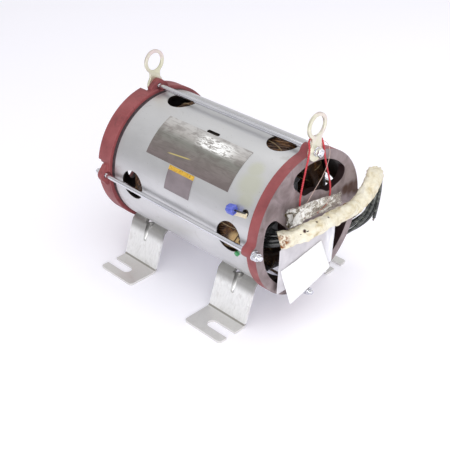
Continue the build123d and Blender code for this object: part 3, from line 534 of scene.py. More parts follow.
# Stator winding: copper wire wound by machine into 36 slots, each coil a bundle of enamelled strands that arches over
# the end of the stack into another slot. Lacing cord holds the ends, and the whole is dipped in varnish and baked.
def round_the_shaft():
    """Node tree that sets copies of one item in a circle round the shaft."""
    tree = bpy.data.node_groups.new("round_the_shaft", "GeometryNodeTree")
    for label, kind in (("Item", "Geometry"), ("Count", "Int"), ("First angle", "Float"), ("Angle between", "Float"),
                        ("Circle radius", "Float"), ("Shaft height", "Float"), ("Step at the top one", "Float"),
                        ("Own turn", "Float"), ("Wobble", "Float"), ("Seed", "Int"), ("Material", "Material")):
        tree.interface.new_socket(name=label, in_out="INPUT", socket_type="NodeSocket" + kind)
    tree.interface.new_socket(name="Pieces", in_out="OUTPUT", socket_type="NodeSocketGeometry")
    given = tree.nodes.new("NodeGroupInput").outputs

    def sum_of(how, *values):
        reckon = tree.nodes.new("ShaderNodeMath")
        reckon.operation = how
        for socket, value in zip(reckon.inputs, values):
            if isinstance(value, (int, float)):
                socket.default_value = value
            else:
                tree.links.new(value, socket)
        return reckon.outputs[0]

    number = tree.nodes.new("GeometryNodeInputIndex").outputs[0]
    angle = sum_of("MULTIPLY_ADD", number, given["Angle between"], given["First angle"])
    place = tree.nodes.new("ShaderNodeCombineXYZ")
    tree.links.new(sum_of("MULTIPLY", sum_of("COMPARE", number, 1.0, 0.5), given["Step at the top one"]),
                   place.inputs["X"])
    tree.links.new(sum_of("MULTIPLY", given["Circle radius"], sum_of("COSINE", angle)), place.inputs["Y"])
    tree.links.new(sum_of("MULTIPLY_ADD", given["Circle radius"], sum_of("SINE", angle), given["Shaft height"]),
                   place.inputs["Z"])
    points = tree.nodes.new("GeometryNodePoints")
    tree.links.new(given["Count"], points.inputs["Count"])
    tree.links.new(place.outputs[0], points.inputs["Position"])
    stray = tree.nodes.new("FunctionNodeRandomValue")
    stray.data_type = "FLOAT"
    low, high = [socket for socket in stray.inputs if socket.type == "VALUE" and socket.name in ("Min", "Max")]
    tree.links.new(sum_of("MULTIPLY", given["Wobble"], -1.0), low)
    tree.links.new(given["Wobble"], high)
    tree.links.new(given["Seed"], stray.inputs["Seed"])
    loose = [socket for socket in stray.outputs if socket.type == "VALUE"][0]
    turn = tree.nodes.new("ShaderNodeCombineXYZ")
    tree.links.new(sum_of("ADD", sum_of("MULTIPLY_ADD", number, given["Own turn"], angle), loose), turn.inputs["X"])
    setting = tree.nodes.new("GeometryNodeInstanceOnPoints")
    tree.links.new(points.outputs[0], setting.inputs["Points"])
    tree.links.new(given["Item"], setting.inputs["Instance"])
    tree.links.new(turn.outputs[0], setting.inputs["Rotation"])
    whole = tree.nodes.new("GeometryNodeRealizeInstances")
    tree.links.new(setting.outputs[0], whole.inputs[0])
    dressed = tree.nodes.new("GeometryNodeSetMaterial")
    tree.links.new(whole.outputs[0], dressed.inputs["Geometry"])
    tree.links.new(given["Material"], dressed.inputs["Material"])
    tree.links.new(dressed.outputs[0], tree.nodes.new("NodeGroupOutput").inputs[0])
    return tree


circle_tree = round_the_shaft()


def set_in_circle(name, item, material, **sizes):
    """The item's copies round the shaft, as one plain mesh."""
    asked = {"Count": 4, "First angle": 0.0, "Angle between": tau / 4, "Circle radius": 0.0,
             "Shaft height": shaft_height, "Step at the top one": 0.0, "Own turn": 0.0, "Wobble": 0.0, "Seed": 3,
             "Material": material}
    asked.update({label.replace("_", " ").capitalize(): value for label, value in sizes.items()})
    setting = item.modifiers.new("round the shaft", "NODES")
    setting.node_group = circle_tree
    for socket in circle_tree.interface.items_tree:
        if socket.in_out == "INPUT" and socket.name in asked:
            setting[socket.identifier] = asked[socket.name]
    item.update_tag()
    placed = bpy.data.meshes.new_from_object(item.evaluated_get(bpy.context.evaluated_depsgraph_get()))
    placed.name = name
    item.modifiers.remove(setting)
    bpy.data.objects.remove(item)
    return put_in(name, placed)


def rings_round(name, rows, sides, closed=False):
    """Surface through rows of places, each row a closed round; the rows' ends are faced unless they meet."""
    drawn = bmesh.new()
    loops = [[drawn.verts.new(row(tau * side / sides)) for side in range(sides)] for row in rows]
    pairs = list(zip(loops, loops[1:])) + ([(loops[-1], loops[0])] if closed else [])
    for loop, following in pairs:
        for side in range(sides):
            beyond = (side + 1) % sides
            drawn.faces.new((loop[side], loop[beyond], following[beyond], following[side])).smooth = True
    if not closed:
        drawn.faces.new(list(reversed(loops[0])))
        drawn.faces.new(loops[-1])
    bmesh.ops.recalc_face_normals(drawn, faces=drawn.faces)
    mesh = finished_mesh(name, drawn)
    mesh.set_sharp_from_angle(angle=radians(32))
    return put_in(name, mesh)


def over_the_end(facing, start_angle, swept, out, steps):
    """Arch over the winding's end, out of one slot and into another; out is how far it stands off the core."""
    stack_face, nose, slot_circle = 0.101 if facing > 0 else 0.076, 0.047, 0.0995
    places = []
    for step in range(steps + 1):
        share = step / steps
        rise = sin(pi * share) ** 0.55
        slot_depth = (0.0185 if share < 0.5 else 0.0222) + out
        stray = 0.001 * noise.noise(Vector((start_angle * 9, share * 4, out)))
        radius = slot_circle - slot_depth * cos(pi * share) + stray
        angle = start_angle + swept * share
        places.append(Vector((facing * (stack_face + (nose + out) * rise), radius * cos(angle), radius * sin(angle))))
    return places


def strands(name, routes, radius, sides):
    """Several round strands as one loose item."""
    drawn = bmesh.new()
    for route in routes:
        strand = tube_along(name, route, sides, lambda share, angle: radius, capped=True)
        drawn.from_mesh(strand.data)
        bpy.data.objects.remove(strand)
    bmesh.ops.recalc_face_normals(drawn, faces=drawn.faces)
    return put_in(name, finished_mesh(name, drawn))


enamelled_copper = finish("enamelled_copper", paint(84, 54, 34), metallic=0.35, roughness=0.34, specular=0.6)
baked = mottle(enamelled_copper, 0.012, detail=6.0, warp=0.6)
copper_tone = shades(enamelled_copper, baked, [
    (0.3, paint(38, 25, 19)), (0.5, paint(78, 51, 31)), (0.64, paint(132, 93, 52)), (0.8, paint(186, 144, 84))])
# Painted reflection: a pale amber patch on the coils behind the near vent stands for light caught on them.
painted_glint = marked(enamelled_copper, [((0.1416, -0.1159, 0.1810), 0.017), ((0.1460, -0.1130, 0.1700), 0.013)])
feed(enamelled_copper, "Base Color", over(enamelled_copper, copper_tone, paint(214, 184, 134), painted_glint))
feed(enamelled_copper, "Roughness", spread(enamelled_copper, baked, 0.3, 0.7, 0.26, 0.5))
relief(enamelled_copper, mottle(enamelled_copper, 0.0016), 0.0002)
lacing_cord = finish("lacing_cord", paint(150, 128, 96), roughness=0.7)
two_shades(lacing_cord, mottle(lacing_cord, 0.004), (96, 74, 50), (170, 150, 116))
strand_radius, lace_radius = 0.0011, 0.0009
for end_name, facing in (("lead_end", 1), ("drive_end", -1)):
    bundle = [over_the_end(facing, radians(1.42) * strand, radians(74 * facing), 0.0012 + 0.0008 * (strand % 3), 16)
              for strand in range(7)]
    coils = set_in_circle(end_name + "_coils", strands("coil", bundle, strand_radius, 6), enamelled_copper,
                          count=36, angle_between=tau / 36, wobble=0.035, seed=11)
    lace = [over_the_end(facing, start_angle=0.0, swept=radians(-9 * facing), out=0.0046, steps=14)]
    lacing = set_in_circle(end_name + "_lacing", strands("lace", lace, lace_radius, 6), lacing_cord,
                           count=18, angle_between=tau / 18, wobble=0.05, seed=5)
    for wound in (coils, lacing):
        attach(wound, "frame")
varnish = finish("winding_varnish", paint(58, 38, 28), roughness=0.35, specular=0.6)
two_shades(varnish, mottle(varnish, 0.01, detail=6.0), (32, 20, 16), (84, 56, 36))
relief(varnish, mottle(varnish, 0.0018, stretch=(8.0, 1.0, 1.0)), 0.0009)
coated("stator_winding", varnish)


# Tie rods: four lengths of cold drawn 3/8 inch steel, 16 threads to the inch rolled on both ends, bright zinc plated.
# They lie in the open just outside the shell and pull the two bells together.
bright_zinc = finish("bright_zinc", paint(226, 226, 232), metallic=1.0, roughness=0.2)
zinc_haze = mottle(bright_zinc, 0.03, detail=4.0, stretch=(3.0, 1.0, 1.0))
two_shades(bright_zinc, zinc_haze, (204, 205, 212), (236, 236, 240))
feed(bright_zinc, "Roughness", spread(bright_zinc, zinc_haze, 0.3, 0.7, 0.27, 0.15))
rod_radius, rod_circle = 0.0046, 0.140
rod_drive_end, rod_lead_end = -0.2038, 0.222
threaded, thread_pitch, thread_depth = 0.032, 0.0015875, 0.0005


def rod_row(x):
    """One round of the rod at x: smooth in the middle, a running thread at the ends, a chamfer at the tips."""
    from_tip = min(x - rod_drive_end, rod_lead_end - x)

    def place(angle):
        radius = rod_radius
        if from_tip < threaded:
            winding = (x / thread_pitch - angle / tau) % 1.0
            radius -= thread_depth * abs(2.0 * winding - 1.0)
        radius = min(radius, 0.0036 + from_tip)
        return Vector((x, radius * cos(angle), radius * sin(angle)))
    return place


thread_steps = [thread_pitch * step / 6 for step in range(int(threaded * 6 / thread_pitch) + 1)]
rod_stations = [rod_drive_end + step for step in thread_steps] + [rod_drive_end + threaded + 0.002, -0.06, 0.08,
               rod_lead_end - threaded - 0.002] + [rod_lead_end - step for step in reversed(thread_steps)]
rods = set_in_circle("rods", rings_round("rod", [rod_row(x) for x in rod_stations], 20), bright_zinc,
                     circle_radius=rod_circle)
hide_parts("tie_rods")
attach(rods, "frame")


# Nuts and washers: a pressed washer and a cold formed 3/8 inch hexagon nut on each end of every rod, zinc plated.
# The nut's corners are turned off at 30 degrees and its thread starts in a countersink.
nut_flats, washer_depth, eye_plate = 0.01429, 0.0024, 0.005
nut_stations = ((0.0, 0.00455), (0.0, 0.0068), (0.0003, 0.0070), (0.0013, 0.0090), (0.0070, 0.0090), (0.0080, 0.0070),
                (0.00833, 0.0067), (0.00833, 0.0053), (0.0077, 0.00455), (0.004, 0.00455))
washer_stations = ((0.0, 0.0052), (0.0, 0.0082), (0.0004, 0.00865), (0.0018, 0.00865), (0.0024, 0.0083),
                   (0.0024, 0.0052))


def nut_row(x, limit):
    """One round of the nut: a hexagon cut down to a circle where the chamfer is smaller."""
    def place(angle):
        flat = nut_flats / 2 / cos((angle + radians(30)) % radians(60) - radians(30))
        radius = min(flat, limit)
        return Vector((x, radius * cos(angle), radius * sin(angle)))
    return place


def washer_row(x, radius):
    """One round of the washer."""
    return lambda angle: Vector((x, radius * cos(angle), radius * sin(angle)))


for end_name, seat, facing in (("lead", 0.2048, 1), ("drive", -0.1865, -1)):
    washer_rows = [washer_row(seat + facing * x, radius) for x, radius in washer_stations]
    washers = set_in_circle(end_name + "_washers", rings_round("washer", washer_rows, 40, closed=True), bright_zinc,
                            circle_radius=rod_circle, step_at_the_top_one=facing * eye_plate)
    nut_rows = [nut_row(seat + facing * (washer_depth + x), limit) for x, limit in nut_stations]
    nuts = set_in_circle(end_name + "_nuts", rings_round("nut", nut_rows, 72, closed=True), bright_zinc,
                         circle_radius=rod_circle, step_at_the_top_one=facing * eye_plate, own_turn=radians(7))
    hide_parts(end_name + "_end_washers")
    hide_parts(end_name + "_end_nuts")
    for fastened in (washers, nuts):
        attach(fastened, "frame")


# Lifting eyes: stamped from 5 mm plate and zinc plated, with a pale yellow passivate that turns pink at the ring.
# One stands at each end of the motor, clamped under the top rod's washer and nut.
yellow_zinc = finish("yellow_zinc", paint(220, 212, 184), metallic=0.7, roughness=0.34)
bloom = mottle(yellow_zinc, 0.028, detail=4.0, warp=0.6)
feed(yellow_zinc, "Base Color", shades(yellow_zinc, bloom, [(0.34, paint(216, 214, 188)), (0.5, paint(225, 220, 204)),
                                                           (0.64, paint(222, 205, 202))]))
relief(yellow_zinc, mottle(yellow_zinc, 0.003), 0.0001)
for eye_node in ("lifting_eye_lead", "lifting_eye_drive"):
    eye = eased(eye_node, 0.0011)
    eye.data.materials.append(yellow_zinc)
    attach(eye, "frame")


# Feet: four Z pressings in bright galvanised plate, with a gusset stamped into the upper bend.
# Each is welded to the shell along its ledge, and has an open slot for a bolt in its flange.
def between(material, value, low, high, soft):
    """1 between two values, 0 outside them."""
    rise = spread(material, value, low - soft, low + soft)
    fall = spread(material, value, high - soft, high + soft, 1.0, 0.0)
    return worked(material, "MULTIPLY", rise, fall)


foot_steel = finish("foot_steel", paint(226, 226, 224), metallic=0.5, roughness=0.36)
spangle = mottle(foot_steel, 0.014, detail=6.0, warp=0.5)
drawn_marks = mottle(foot_steel, 0.0035, detail=4.0, stretch=(1.0, 1.0, 14.0))
foot_grey = shades(foot_steel, drawn_marks, [(0.3, paint(230, 230, 229)), (0.6, paint(242, 242, 241))])
foot_grey = over(foot_steel, foot_grey, paint(206, 204, 200), spread(foot_steel, spangle, 0.52, 0.7, 0.0, 0.5))
up_the_foot = coordinate(foot_steel, "Z")
foot_grey = over(foot_steel, foot_grey, paint(214, 212, 209), spread(foot_steel, up_the_foot, 0.0032, 0.009, 0.85, 0.0))
# Painted shade: a darker band at the top of each foot, just under the shell.
foot_grey = over(foot_steel, foot_grey, paint(128, 126, 122), spread(foot_steel, up_the_foot, 0.056, 0.072, 0.0, 0.8))
# Painted reflection: a thin dark line along the lower bend.
lower_bend = between(foot_steel, up_the_foot, 0.0057, 0.0083, 0.0005)
foot_grey = over(foot_steel, foot_grey, paint(118, 112, 100), worked(foot_steel, "MULTIPLY", lower_bend, 0.75))
feed(foot_steel, "Base Color", foot_grey)
feed(foot_steel, "Roughness", spread(foot_steel, spangle, 0.3, 0.7, 0.44, 0.28))
relief(foot_steel, drawn_marks, 0.00002)
for foot_node in ("foot_lead_left", "foot_lead_right", "foot_drive_left", "foot_drive_right"):
    foot = eased(foot_node, 0.0006)
    foot.data.materials.append(foot_steel)
    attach(foot, "frame")


# Bearings, wave spring and snap ring: ground rings and balls with pressed steel cages, and springs left blue.
# The inner rings are pressed on the shaft, the outer ones sit in the bells, and the spring takes up the end play.
bearing_steel = finish("bearing_steel", paint(190, 192, 196), metallic=1.0, roughness=0.16)
ground = mottle(bearing_steel, 0.001, stretch=(1.0, 20.0, 20.0))
feed(bearing_steel, "Roughness", spread(bearing_steel, ground, 0.3, 0.7, 0.12, 0.24))
cage_steel = finish("cage_steel", paint(150, 146, 138), metallic=0.9, roughness=0.4)
two_shades(cage_steel, mottle(cage_steel, 0.004), (128, 122, 112), (168, 164, 156))
spring_blue = finish("spring_blue", paint(86, 92, 112), metallic=0.9, roughness=0.32)
two_shades(spring_blue, mottle(spring_blue, 0.006), (66, 72, 96), (122, 116, 112))
for bearing_node, steel in (("drive_bearing_outer", bearing_steel), ("drive_bearing_inner", bearing_steel),
                            ("drive_bearing_balls", bearing_steel), ("lead_bearing_outer", bearing_steel),
                            ("lead_bearing_inner", bearing_steel), ("lead_bearing_balls", bearing_steel),
                            ("drive_bearing_cage", cage_steel), ("lead_bearing_cage", cage_steel),
                            ("wave_spring", spring_blue), ("snap_ring", spring_blue)):
    coated(bearing_node, steel)


# Shaft, key and end rings: a turned and ground steel shaft, pressed through the laminated rotor and keyed at its end.
# The rings are aluminium, cast with the rotor's cage, and their short fins stir the air.
turned_steel = finish("turned_steel", paint(176, 174, 170), metallic=1.0, roughness=0.3)
turned = mottle(turned_steel, 0.0008, stretch=(1.0, 40.0, 40.0))
feed(turned_steel, "Roughness", spread(turned_steel, turned, 0.3, 0.7, 0.22, 0.38))
relief(turned_steel, turned, 0.00002)
for shaft_node in ("shaft", "shaft_key"):
    turned_piece = eased(shaft_node, 0.0004)
    turned_piece.data.materials.append(turned_steel)
    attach(turned_piece, "rotor")
cast_aluminium = finish("cast_aluminium", paint(176, 178, 180), metallic=0.9, roughness=0.45)
skin = mottle(cast_aluminium, 0.003, detail=5.0)
two_shades(cast_aluminium, skin, (150, 152, 154), (192, 194, 196))
relief(cast_aluminium, skin, 0.0003)
for end_ring_node in ("end_ring_drive", "end_ring_lead"):
    coated(end_ring_node, cast_aluminium)


# Rating plate and label: a thin foil plate and a small sticker, glued to the shell's near side.
# Both are bare; the plate is streaked and spotted with yellow, lighter at its top with wear and painted light, and
# carries a painted highlight up there, and the label has an ochre band.
flat_reach = shell_radius + 0.0001


def around(material):
    """Distance round the shell from the level of the shaft on the far side, in metres."""
    above = worked(material, "SUBTRACT", coordinate(material, "Z"), shaft_height)
    return worked(material, "MULTIPLY", worked(material, "ARCTAN2", above, coordinate(material, "Y")), flat_reach)


def on_the_shell(material, patch, along, detail=6.0, warp=0.0, start=0.0):
    """Cloudy pattern unrolled from the shell; along is how much longer a cloud is down the motor than round it."""
    flat = material.node_tree.nodes.new("ShaderNodeCombineXYZ")
    material.node_tree.links.new(worked(material, "MULTIPLY", coordinate(material, "X"), 1.0 / (patch * along)),
                                 flat.inputs["X"])
    material.node_tree.links.new(worked(material, "MULTIPLY", around(material), 1.0 / patch), flat.inputs["Y"])
    flat.inputs["Z"].default_value = start
    cloud = material.node_tree.nodes.new("ShaderNodeTexNoise")
    cloud.inputs["Scale"].default_value = 1.0
    cloud.inputs["Detail"].default_value = detail
    cloud.inputs["Distortion"].default_value = warp
    material.node_tree.links.new(flat.outputs[0], cloud.inputs["Vector"])
    return cloud.outputs["Fac"]


degree = flat_reach * radians(1)
plate_foil = finish("plate_foil", paint(150, 142, 136), metallic=0.5, roughness=0.36)
# Lighter at the top of the plate and darker down it: wear together with painted light and shade.
down_plate = spread(plate_foil, around(plate_foil), 112 * degree, 147 * degree)
down_plate.node.interpolation_type = "LINEAR"
plate_tone = shades(plate_foil, down_plate, [(0.0, paint(206, 204, 202)), (0.28, paint(190, 186, 182)),
                                             (0.46, paint(136, 136, 129)), (0.66, paint(136, 129, 125)),
                                             (1.0, paint(128, 116, 116))])
streaks = on_the_shell(plate_foil, 0.0022, 12.0, detail=8.0, warp=0.4)
plate_tone = over(plate_foil, plate_tone, paint(98, 92, 88), spread(plate_foil, streaks, 0.5, 0.72, 0.0, 0.4))
soil = on_the_shell(plate_foil, 0.016, 1.6, detail=8.0, warp=0.6, start=9.0)
plate_tone = over(plate_foil, plate_tone, paint(112, 104, 100), spread(plate_foil, soil, 0.42, 0.62, 0.0, 0.5))
along_plate = coordinate(plate_foil, "X")
# Painted highlight: a bright, broken white patch high on the plate stands for light reflected off the foil.
highlight_patch = worked(plate_foil, "MULTIPLY", between(plate_foil, along_plate, 0.004, 0.082, 0.02),
                between(plate_foil, around(plate_foil), 115 * degree, 125.5 * degree, 0.004))
highlight_breakup = spread(plate_foil, on_the_shell(plate_foil, 0.004, 4.0, detail=8.0, warp=1.6, start=4.0), 0.42, 0.52)
painted_highlight = worked(plate_foil, "MULTIPLY", highlight_patch, highlight_breakup)
plate_tone = over(plate_foil, plate_tone, paint(252, 252, 250), painted_highlight)
feed(plate_foil, "Metallic", spread(plate_foil, painted_highlight, 0.0, 1.0, 0.5, 0.05))
slanting = worked(plate_foil, "ADD", around(plate_foil), worked(plate_foil, "MULTIPLY", along_plate, 0.1))
yellow_drip = worked(plate_foil, "MULTIPLY", between(plate_foil, along_plate, -0.040, 0.009, 0.006),
                     between(plate_foil, slanting, 138.9 * degree - 0.0012, 139.2 * degree, 0.0006))
feed(plate_foil, "Base Color", over(plate_foil, plate_tone, paint(206, 190, 120), yellow_drip))
feed(plate_foil, "Roughness", spread(plate_foil, streaks, 0.35, 0.65, 0.28, 0.5))
relief(plate_foil, streaks, 0.0002)
sticker_film = finish("sticker_film", paint(125, 115, 120), roughness=0.5)
label_tone = shades(sticker_film, on_the_shell(sticker_film, 0.02, 1.5), [(0.3, paint(118, 108, 112)),
                                                                         (0.7, paint(136, 126, 130))])
ochre = between(sticker_film, around(sticker_film), 148.2 * degree, 151.9 * degree, 0.0004)
freckles = spread(sticker_film, mottle(sticker_film, 0.0028, detail=3.0), 0.56, 0.64, 0.0, 0.7)
ochre_tone = over(sticker_film, shades(sticker_film, mottle(sticker_film, 0.01), [
    (0.3, paint(196, 152, 44)), (0.7, paint(214, 174, 66))]), paint(112, 84, 40), freckles)
feed(sticker_film, "Base Color", over(sticker_film, label_tone, ochre_tone, ochre))
relief(sticker_film, mottle(sticker_film, 0.006), 0.0002)
coated("nameplate", plate_foil)
coated("data_sticker", sticker_film)


# Ground screw: a small steel screw in green paint, turned into the shell under the near rod.
# It is where the earth wire of the motor is fastened.
green_screw = finish("green_screw", paint(60, 150, 90), metallic=0.2, roughness=0.4)
two_shades(green_screw, mottle(green_screw, 0.003), (36, 112, 66), (78, 170, 106))
coated("ground_screw", green_screw)


# Cloth tape: a strip of woven cotton tape, stuck over the edge of the protector's hole.
# It was torn off by hand, so its ends are ragged, and it lifts a little along its creases.
tape_cloth = finish("tape_cloth", paint(226, 214, 186), roughness=0.8)
two_shades(tape_cloth, mottle(tape_cloth, 0.003), (206, 190, 156), (236, 226, 202))


def tape_place(along, across):
    """Place on the strip's outside, both ways from 0 to 1."""
    angle = radians(161.3 - 3.6 * across - 2.2 * along + 0.5 * noise.noise(Vector((along * 6.0, across * 2.0, 1.0))))
    x = 0.1412 + 0.0282 * along + 0.001 * noise.noise(Vector((across * 9.0, 4.0, along)))
    reach = shell_radius + 0.00055 + 0.0004 * max(0.0, noise.noise(Vector((along * 5.0, across * 3.0, 7.0))))
    return Vector((x, reach * cos(angle), shaft_height + reach * sin(angle)))


steps_along, steps_across = 24, 10
drawn = bmesh.new()
tape_rows = [[drawn.verts.new(tape_place(row / steps_along, step / steps_across)) for step in range(steps_across + 1)]
             for row in range(steps_along + 1)]
for row, following in zip(tape_rows, tape_rows[1:]):
    for corner in range(steps_across):
        drawn.faces.new((row[corner], following[corner], following[corner + 1], row[corner + 1])).smooth = True
bmesh.ops.recalc_face_normals(drawn, faces=drawn.faces)
tape_mesh = finished_mesh("tape", drawn)
tape = put_in("tape", tape_mesh)
if tape_mesh.polygons[len(tape_mesh.polygons) // 2].normal.y > 0:
    tape_mesh.flip_normals()
thicken(tape, "tape thickness", 0.0004)
tape_mesh.materials.append(tape_cloth)
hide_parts("tape_strip")
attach(tape, "frame")


# Thermal protector lead: one thin black wire, led out of its own hole beside the vent.
# A moulded blue wire cap with six grip ribs is screwed over its end.
protector_route = [(0.151, -0.095, 0.2298), (0.167, -0.095, 0.2298), (0.174, -0.1051, 0.2343),
                   (0.165, -0.1197, 0.2408), (0.1565, -0.127, 0.244), (0.149, -0.1278, 0.2436)]
protector_thickness = 0.003
protector = spline("protector_wire", protector_route, protector_thickness)
protector.data.materials.append(lead_insulation)
blue_cap = finish("blue_cap", paint(84, 96, 190), roughness=0.3)
two_shades(blue_cap, mottle(blue_cap, 0.006), (70, 82, 176), (104, 116, 204))
relief(blue_cap, mottle(blue_cap, 0.002), 0.0001)
cap_mouth, cap_way = Vector(protector_route[-1]), Vector((-0.9933, -0.1060, -0.0530)).normalized()
cap_side = cap_way.cross(Vector((0, 0, 1))).normalized()
cap_up = cap_side.cross(cap_way)
cap_stations = ((0.0015, 0.0060), (0.0, 0.0066), (0.0, 0.0084), (0.0009, 0.0088), (0.005, 0.0086), (0.011, 0.0082),
                (0.0135, 0.0074), (0.0155, 0.0055), (0.0166, 0.0030), (0.0169, 0.0010))


def cap_row(along, radius):
    """One round of the cap, with six grip ribs along its body."""
    def place(angle):
        grip = 0.0018 * abs(cos(3.0 * angle)) ** 0.8 if 0.0005 < along < 0.0165 else 0.0008
        reach = radius - 0.0012 + grip * min(1.0, radius / 0.0074)
        return cap_mouth + cap_way * along + (cap_side * cos(angle) + cap_up * sin(angle)) * reach
    return place


cap = rings_round("blue_cap", [cap_row(along, radius) for along, radius in cap_stations], 48)
cap.data.materials.append(blue_cap)
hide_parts("wire_nut")
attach(cap, "frame")
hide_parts("protector_lead")
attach(protector, "frame")


# Hangings: a closed loop of red twine through the lead end's eye, which holds up a tube of clear film.
# A thin wire from the same eye holds two bare paper tags, a grey one behind, painted in shade on its left and lit paler
# on its right, and a white one in front.
red_twine = finish("red_twine", paint(190, 50, 60), roughness=0.6)
two_shades(red_twine, mottle(red_twine, 0.002), (160, 30, 42), (210, 70, 78))
tan_wire = finish("tan_wire", paint(200, 170, 160), roughness=0.45)
two_shades(tan_wire, mottle(tan_wire, 0.003), (176, 146, 134), (214, 188, 178))
twine_route = [(0.2078, 0.0, 0.203), (0.2082, -0.028, 0.207), (0.2092, -0.037, 0.243), (0.2115, -0.031, 0.292),
               (0.213, -0.021, 0.338), (0.2033, -0.0155, 0.35), (0.2015, 0.0, 0.352), (0.2033, 0.0155, 0.35),
               (0.212, 0.014, 0.338), (0.2105, 0.026, 0.296), (0.2082, 0.049, 0.243), (0.208, 0.045, 0.206),
               (0.2078, 0.016, 0.203)]
twine_line = evened(followed(twine_route), 560)


def laid_up(share, angle):
    """Two plies, twisted fifty times round each other along the twine."""
    return 0.0015 + 0.0004 * cos(2.0 * (angle - share * 50 * tau))


twine = tube_along("twine", twine_line, 10, laid_up, capped=True)
twine.data.materials.append(red_twine)
clear_film = finish("clear_film", paint(226, 221, 211), roughness=0.14, specular=0.8)
film_haze = mottle(clear_film, 0.022, detail=3.0, stretch=(1.0, 1.6, 0.8), warp=1.2)
film_tone = shades(clear_film, film_haze, [(0.34, paint(188, 178, 154)), (0.46, paint(226, 220, 206)),
                                           (0.56, paint(254, 253, 250))])
# Painted shade: the film's gaping left mouth is painted dark olive and made less clear, for the shade inside the tube.
painted_mouth_shade = worked(clear_film, "MULTIPLY", spread(clear_film, coordinate(clear_film, "Y"), -0.066, -0.036, 1.0, 0.0),
              spread(clear_film, film_haze, 0.46, 0.56, 1.0, 0.35))
feed(clear_film, "Base Color", over(clear_film, film_tone, paint(84, 72, 46), painted_mouth_shade))
cloudy = spread(clear_film, film_haze, 0.44, 0.58, 0.12, 0.62)
feed(clear_film, "Alpha", worked(clear_film, "MAXIMUM", cloudy, worked(clear_film, "MULTIPLY", painted_mouth_shade, 0.6)))
relief(clear_film, film_haze, 0.0015)


def film_row(share):
    """One round of the film tube: it gapes at its left mouth and is pressed flat and crumpled further along."""
    y = -0.068 + 0.138 * share
    middle_z = shaft_height + 0.0425 - 0.0170 * share
    half_height = 0.0175 - 0.0050 * share
    gape = max(0.0, 1.0 - share / 0.3)
    half_depth = 0.0026 + 0.0052 * gape ** 1.5
    middle_x = 0.2142 + 0.0018 * gape

    def place(angle):
        rumple = 0.0022 * noise.noise(Vector((share * 12.0, cos(angle) * 2.0, sin(angle) * 2.0)))
        fold = 0.0016 * noise.noise(Vector((share * 34.0, cos(angle) * 4.0 + 3.0, sin(angle) * 4.0)))
        across = (abs(cos(angle)) ** 0.75) * (1 if cos(angle) > 0 else -1)
        upward = (abs(sin(angle)) ** 0.75) * (1 if sin(angle) > 0 else -1)
        return Vector((middle_x + half_depth * across + (rumple + fold) * (1 + gape) + 0.0012 * sin(share * 9.0),
                       y + 0.002 * noise.noise(Vector((angle, share * 3.0, 2.0))),
                       middle_z + (half_height + 1.4 * rumple) * upward + fold))
    return place


film_steps = 90
film = rings_round("film", [film_row(step / film_steps) for step in range(film_steps + 1)], 56)
drawn = bmesh.new()
drawn.from_mesh(film.data)
bmesh.ops.delete(drawn, geom=[face for face in drawn.faces if len(face.verts) > 4], context="FACES_ONLY")
drawn.to_mesh(film.data)
drawn.free()
film.data.materials.append(clear_film)
thicken(film, "film thickness", 0.0002)
grey_card = finish("grey_card", paint(206, 204, 216), roughness=0.7)
card_fold = mottle(grey_card, 0.016, detail=5.0, stretch=(1.0, 1.0, 5.0), warp=0.4)
grey_shade_tone = shades(grey_card, mottle(grey_card, 0.02, detail=7.0), [(0.3, paint(190, 187, 192)),
                                                                    (0.7, paint(212, 209, 213))])
# Painted light and shade: the rear card is grey, as in shade, over most of it and paler towards its right end, where
# light falls.
painted_lit_side = spread(grey_card, coordinate(grey_card, "Y"), 0.03, 0.052)
feed(grey_card, "Base Color", over(grey_card, grey_shade_tone, shades(grey_card, card_fold, [
    (0.4, paint(206, 205, 214)), (0.6, paint(240, 240, 243))]), painted_lit_side))
relief(grey_card, card_fold, 0.0008)
white_card = finish("white_card", paint(246, 246, 247), roughness=0.65)
white_fold = mottle(white_card, 0.02, detail=6.0, warp=0.8)
feed(white_card, "Base Color", shades(white_card, white_fold, [(0.3, paint(232, 232, 234)), (0.5, paint(243, 243, 244)),
                                                              (0.7, paint(248, 248, 248))]))
relief(white_card, white_fold, 0.0003)


def tag_card(name, card_x, top, bottom, bow, curl, material):
    """Thin card between a top and a bottom edge, left to right, gently bowed and creased from handling."""
    def along(edge, share):
        spans = [(Vector(after) - Vector(before)).length for before, after in zip(edge, edge[1:])]
        reach = share * sum(spans)
        for before, after, span in zip(edge, edge[1:], spans):
            if reach <= span or after == edge[-1]:
                return Vector(before).lerp(Vector(after), min(reach / span, 1.0))
            reach -= span

    sheet = bmesh.new()
    rows = []
    steps, levels = 40, 32
    for step in range(steps + 1):
        row = []
        for level in range(levels + 1):
            across, down = step / steps, level / levels
            flat = along(top, across).lerp(along(bottom, across), down)
            lift = bow * sin(pi * across) * (0.4 + 0.6 * down) + curl * (1 - across) ** 2 * down ** 2
            lift += 0.0011 * noise.noise(Vector((across * 3.0, down * 3.0, bow * 900)))
            row.append(sheet.verts.new((card_x + lift, flat.x, shaft_height + flat.y)))
        rows.append(row)
    for row, following in zip(rows, rows[1:]):
        for level in range(levels):
            sheet.faces.new((row[level], row[level + 1], following[level + 1], following[level])).smooth = True
    mesh = finished_mesh(name, sheet)
    if mesh.polygons[0].normal.x < 0:
        mesh.flip_normals()
    mesh.materials.append(material)
    card = put_in(name, mesh)
    thicken(card, "card thickness", 0.0003)
    return card


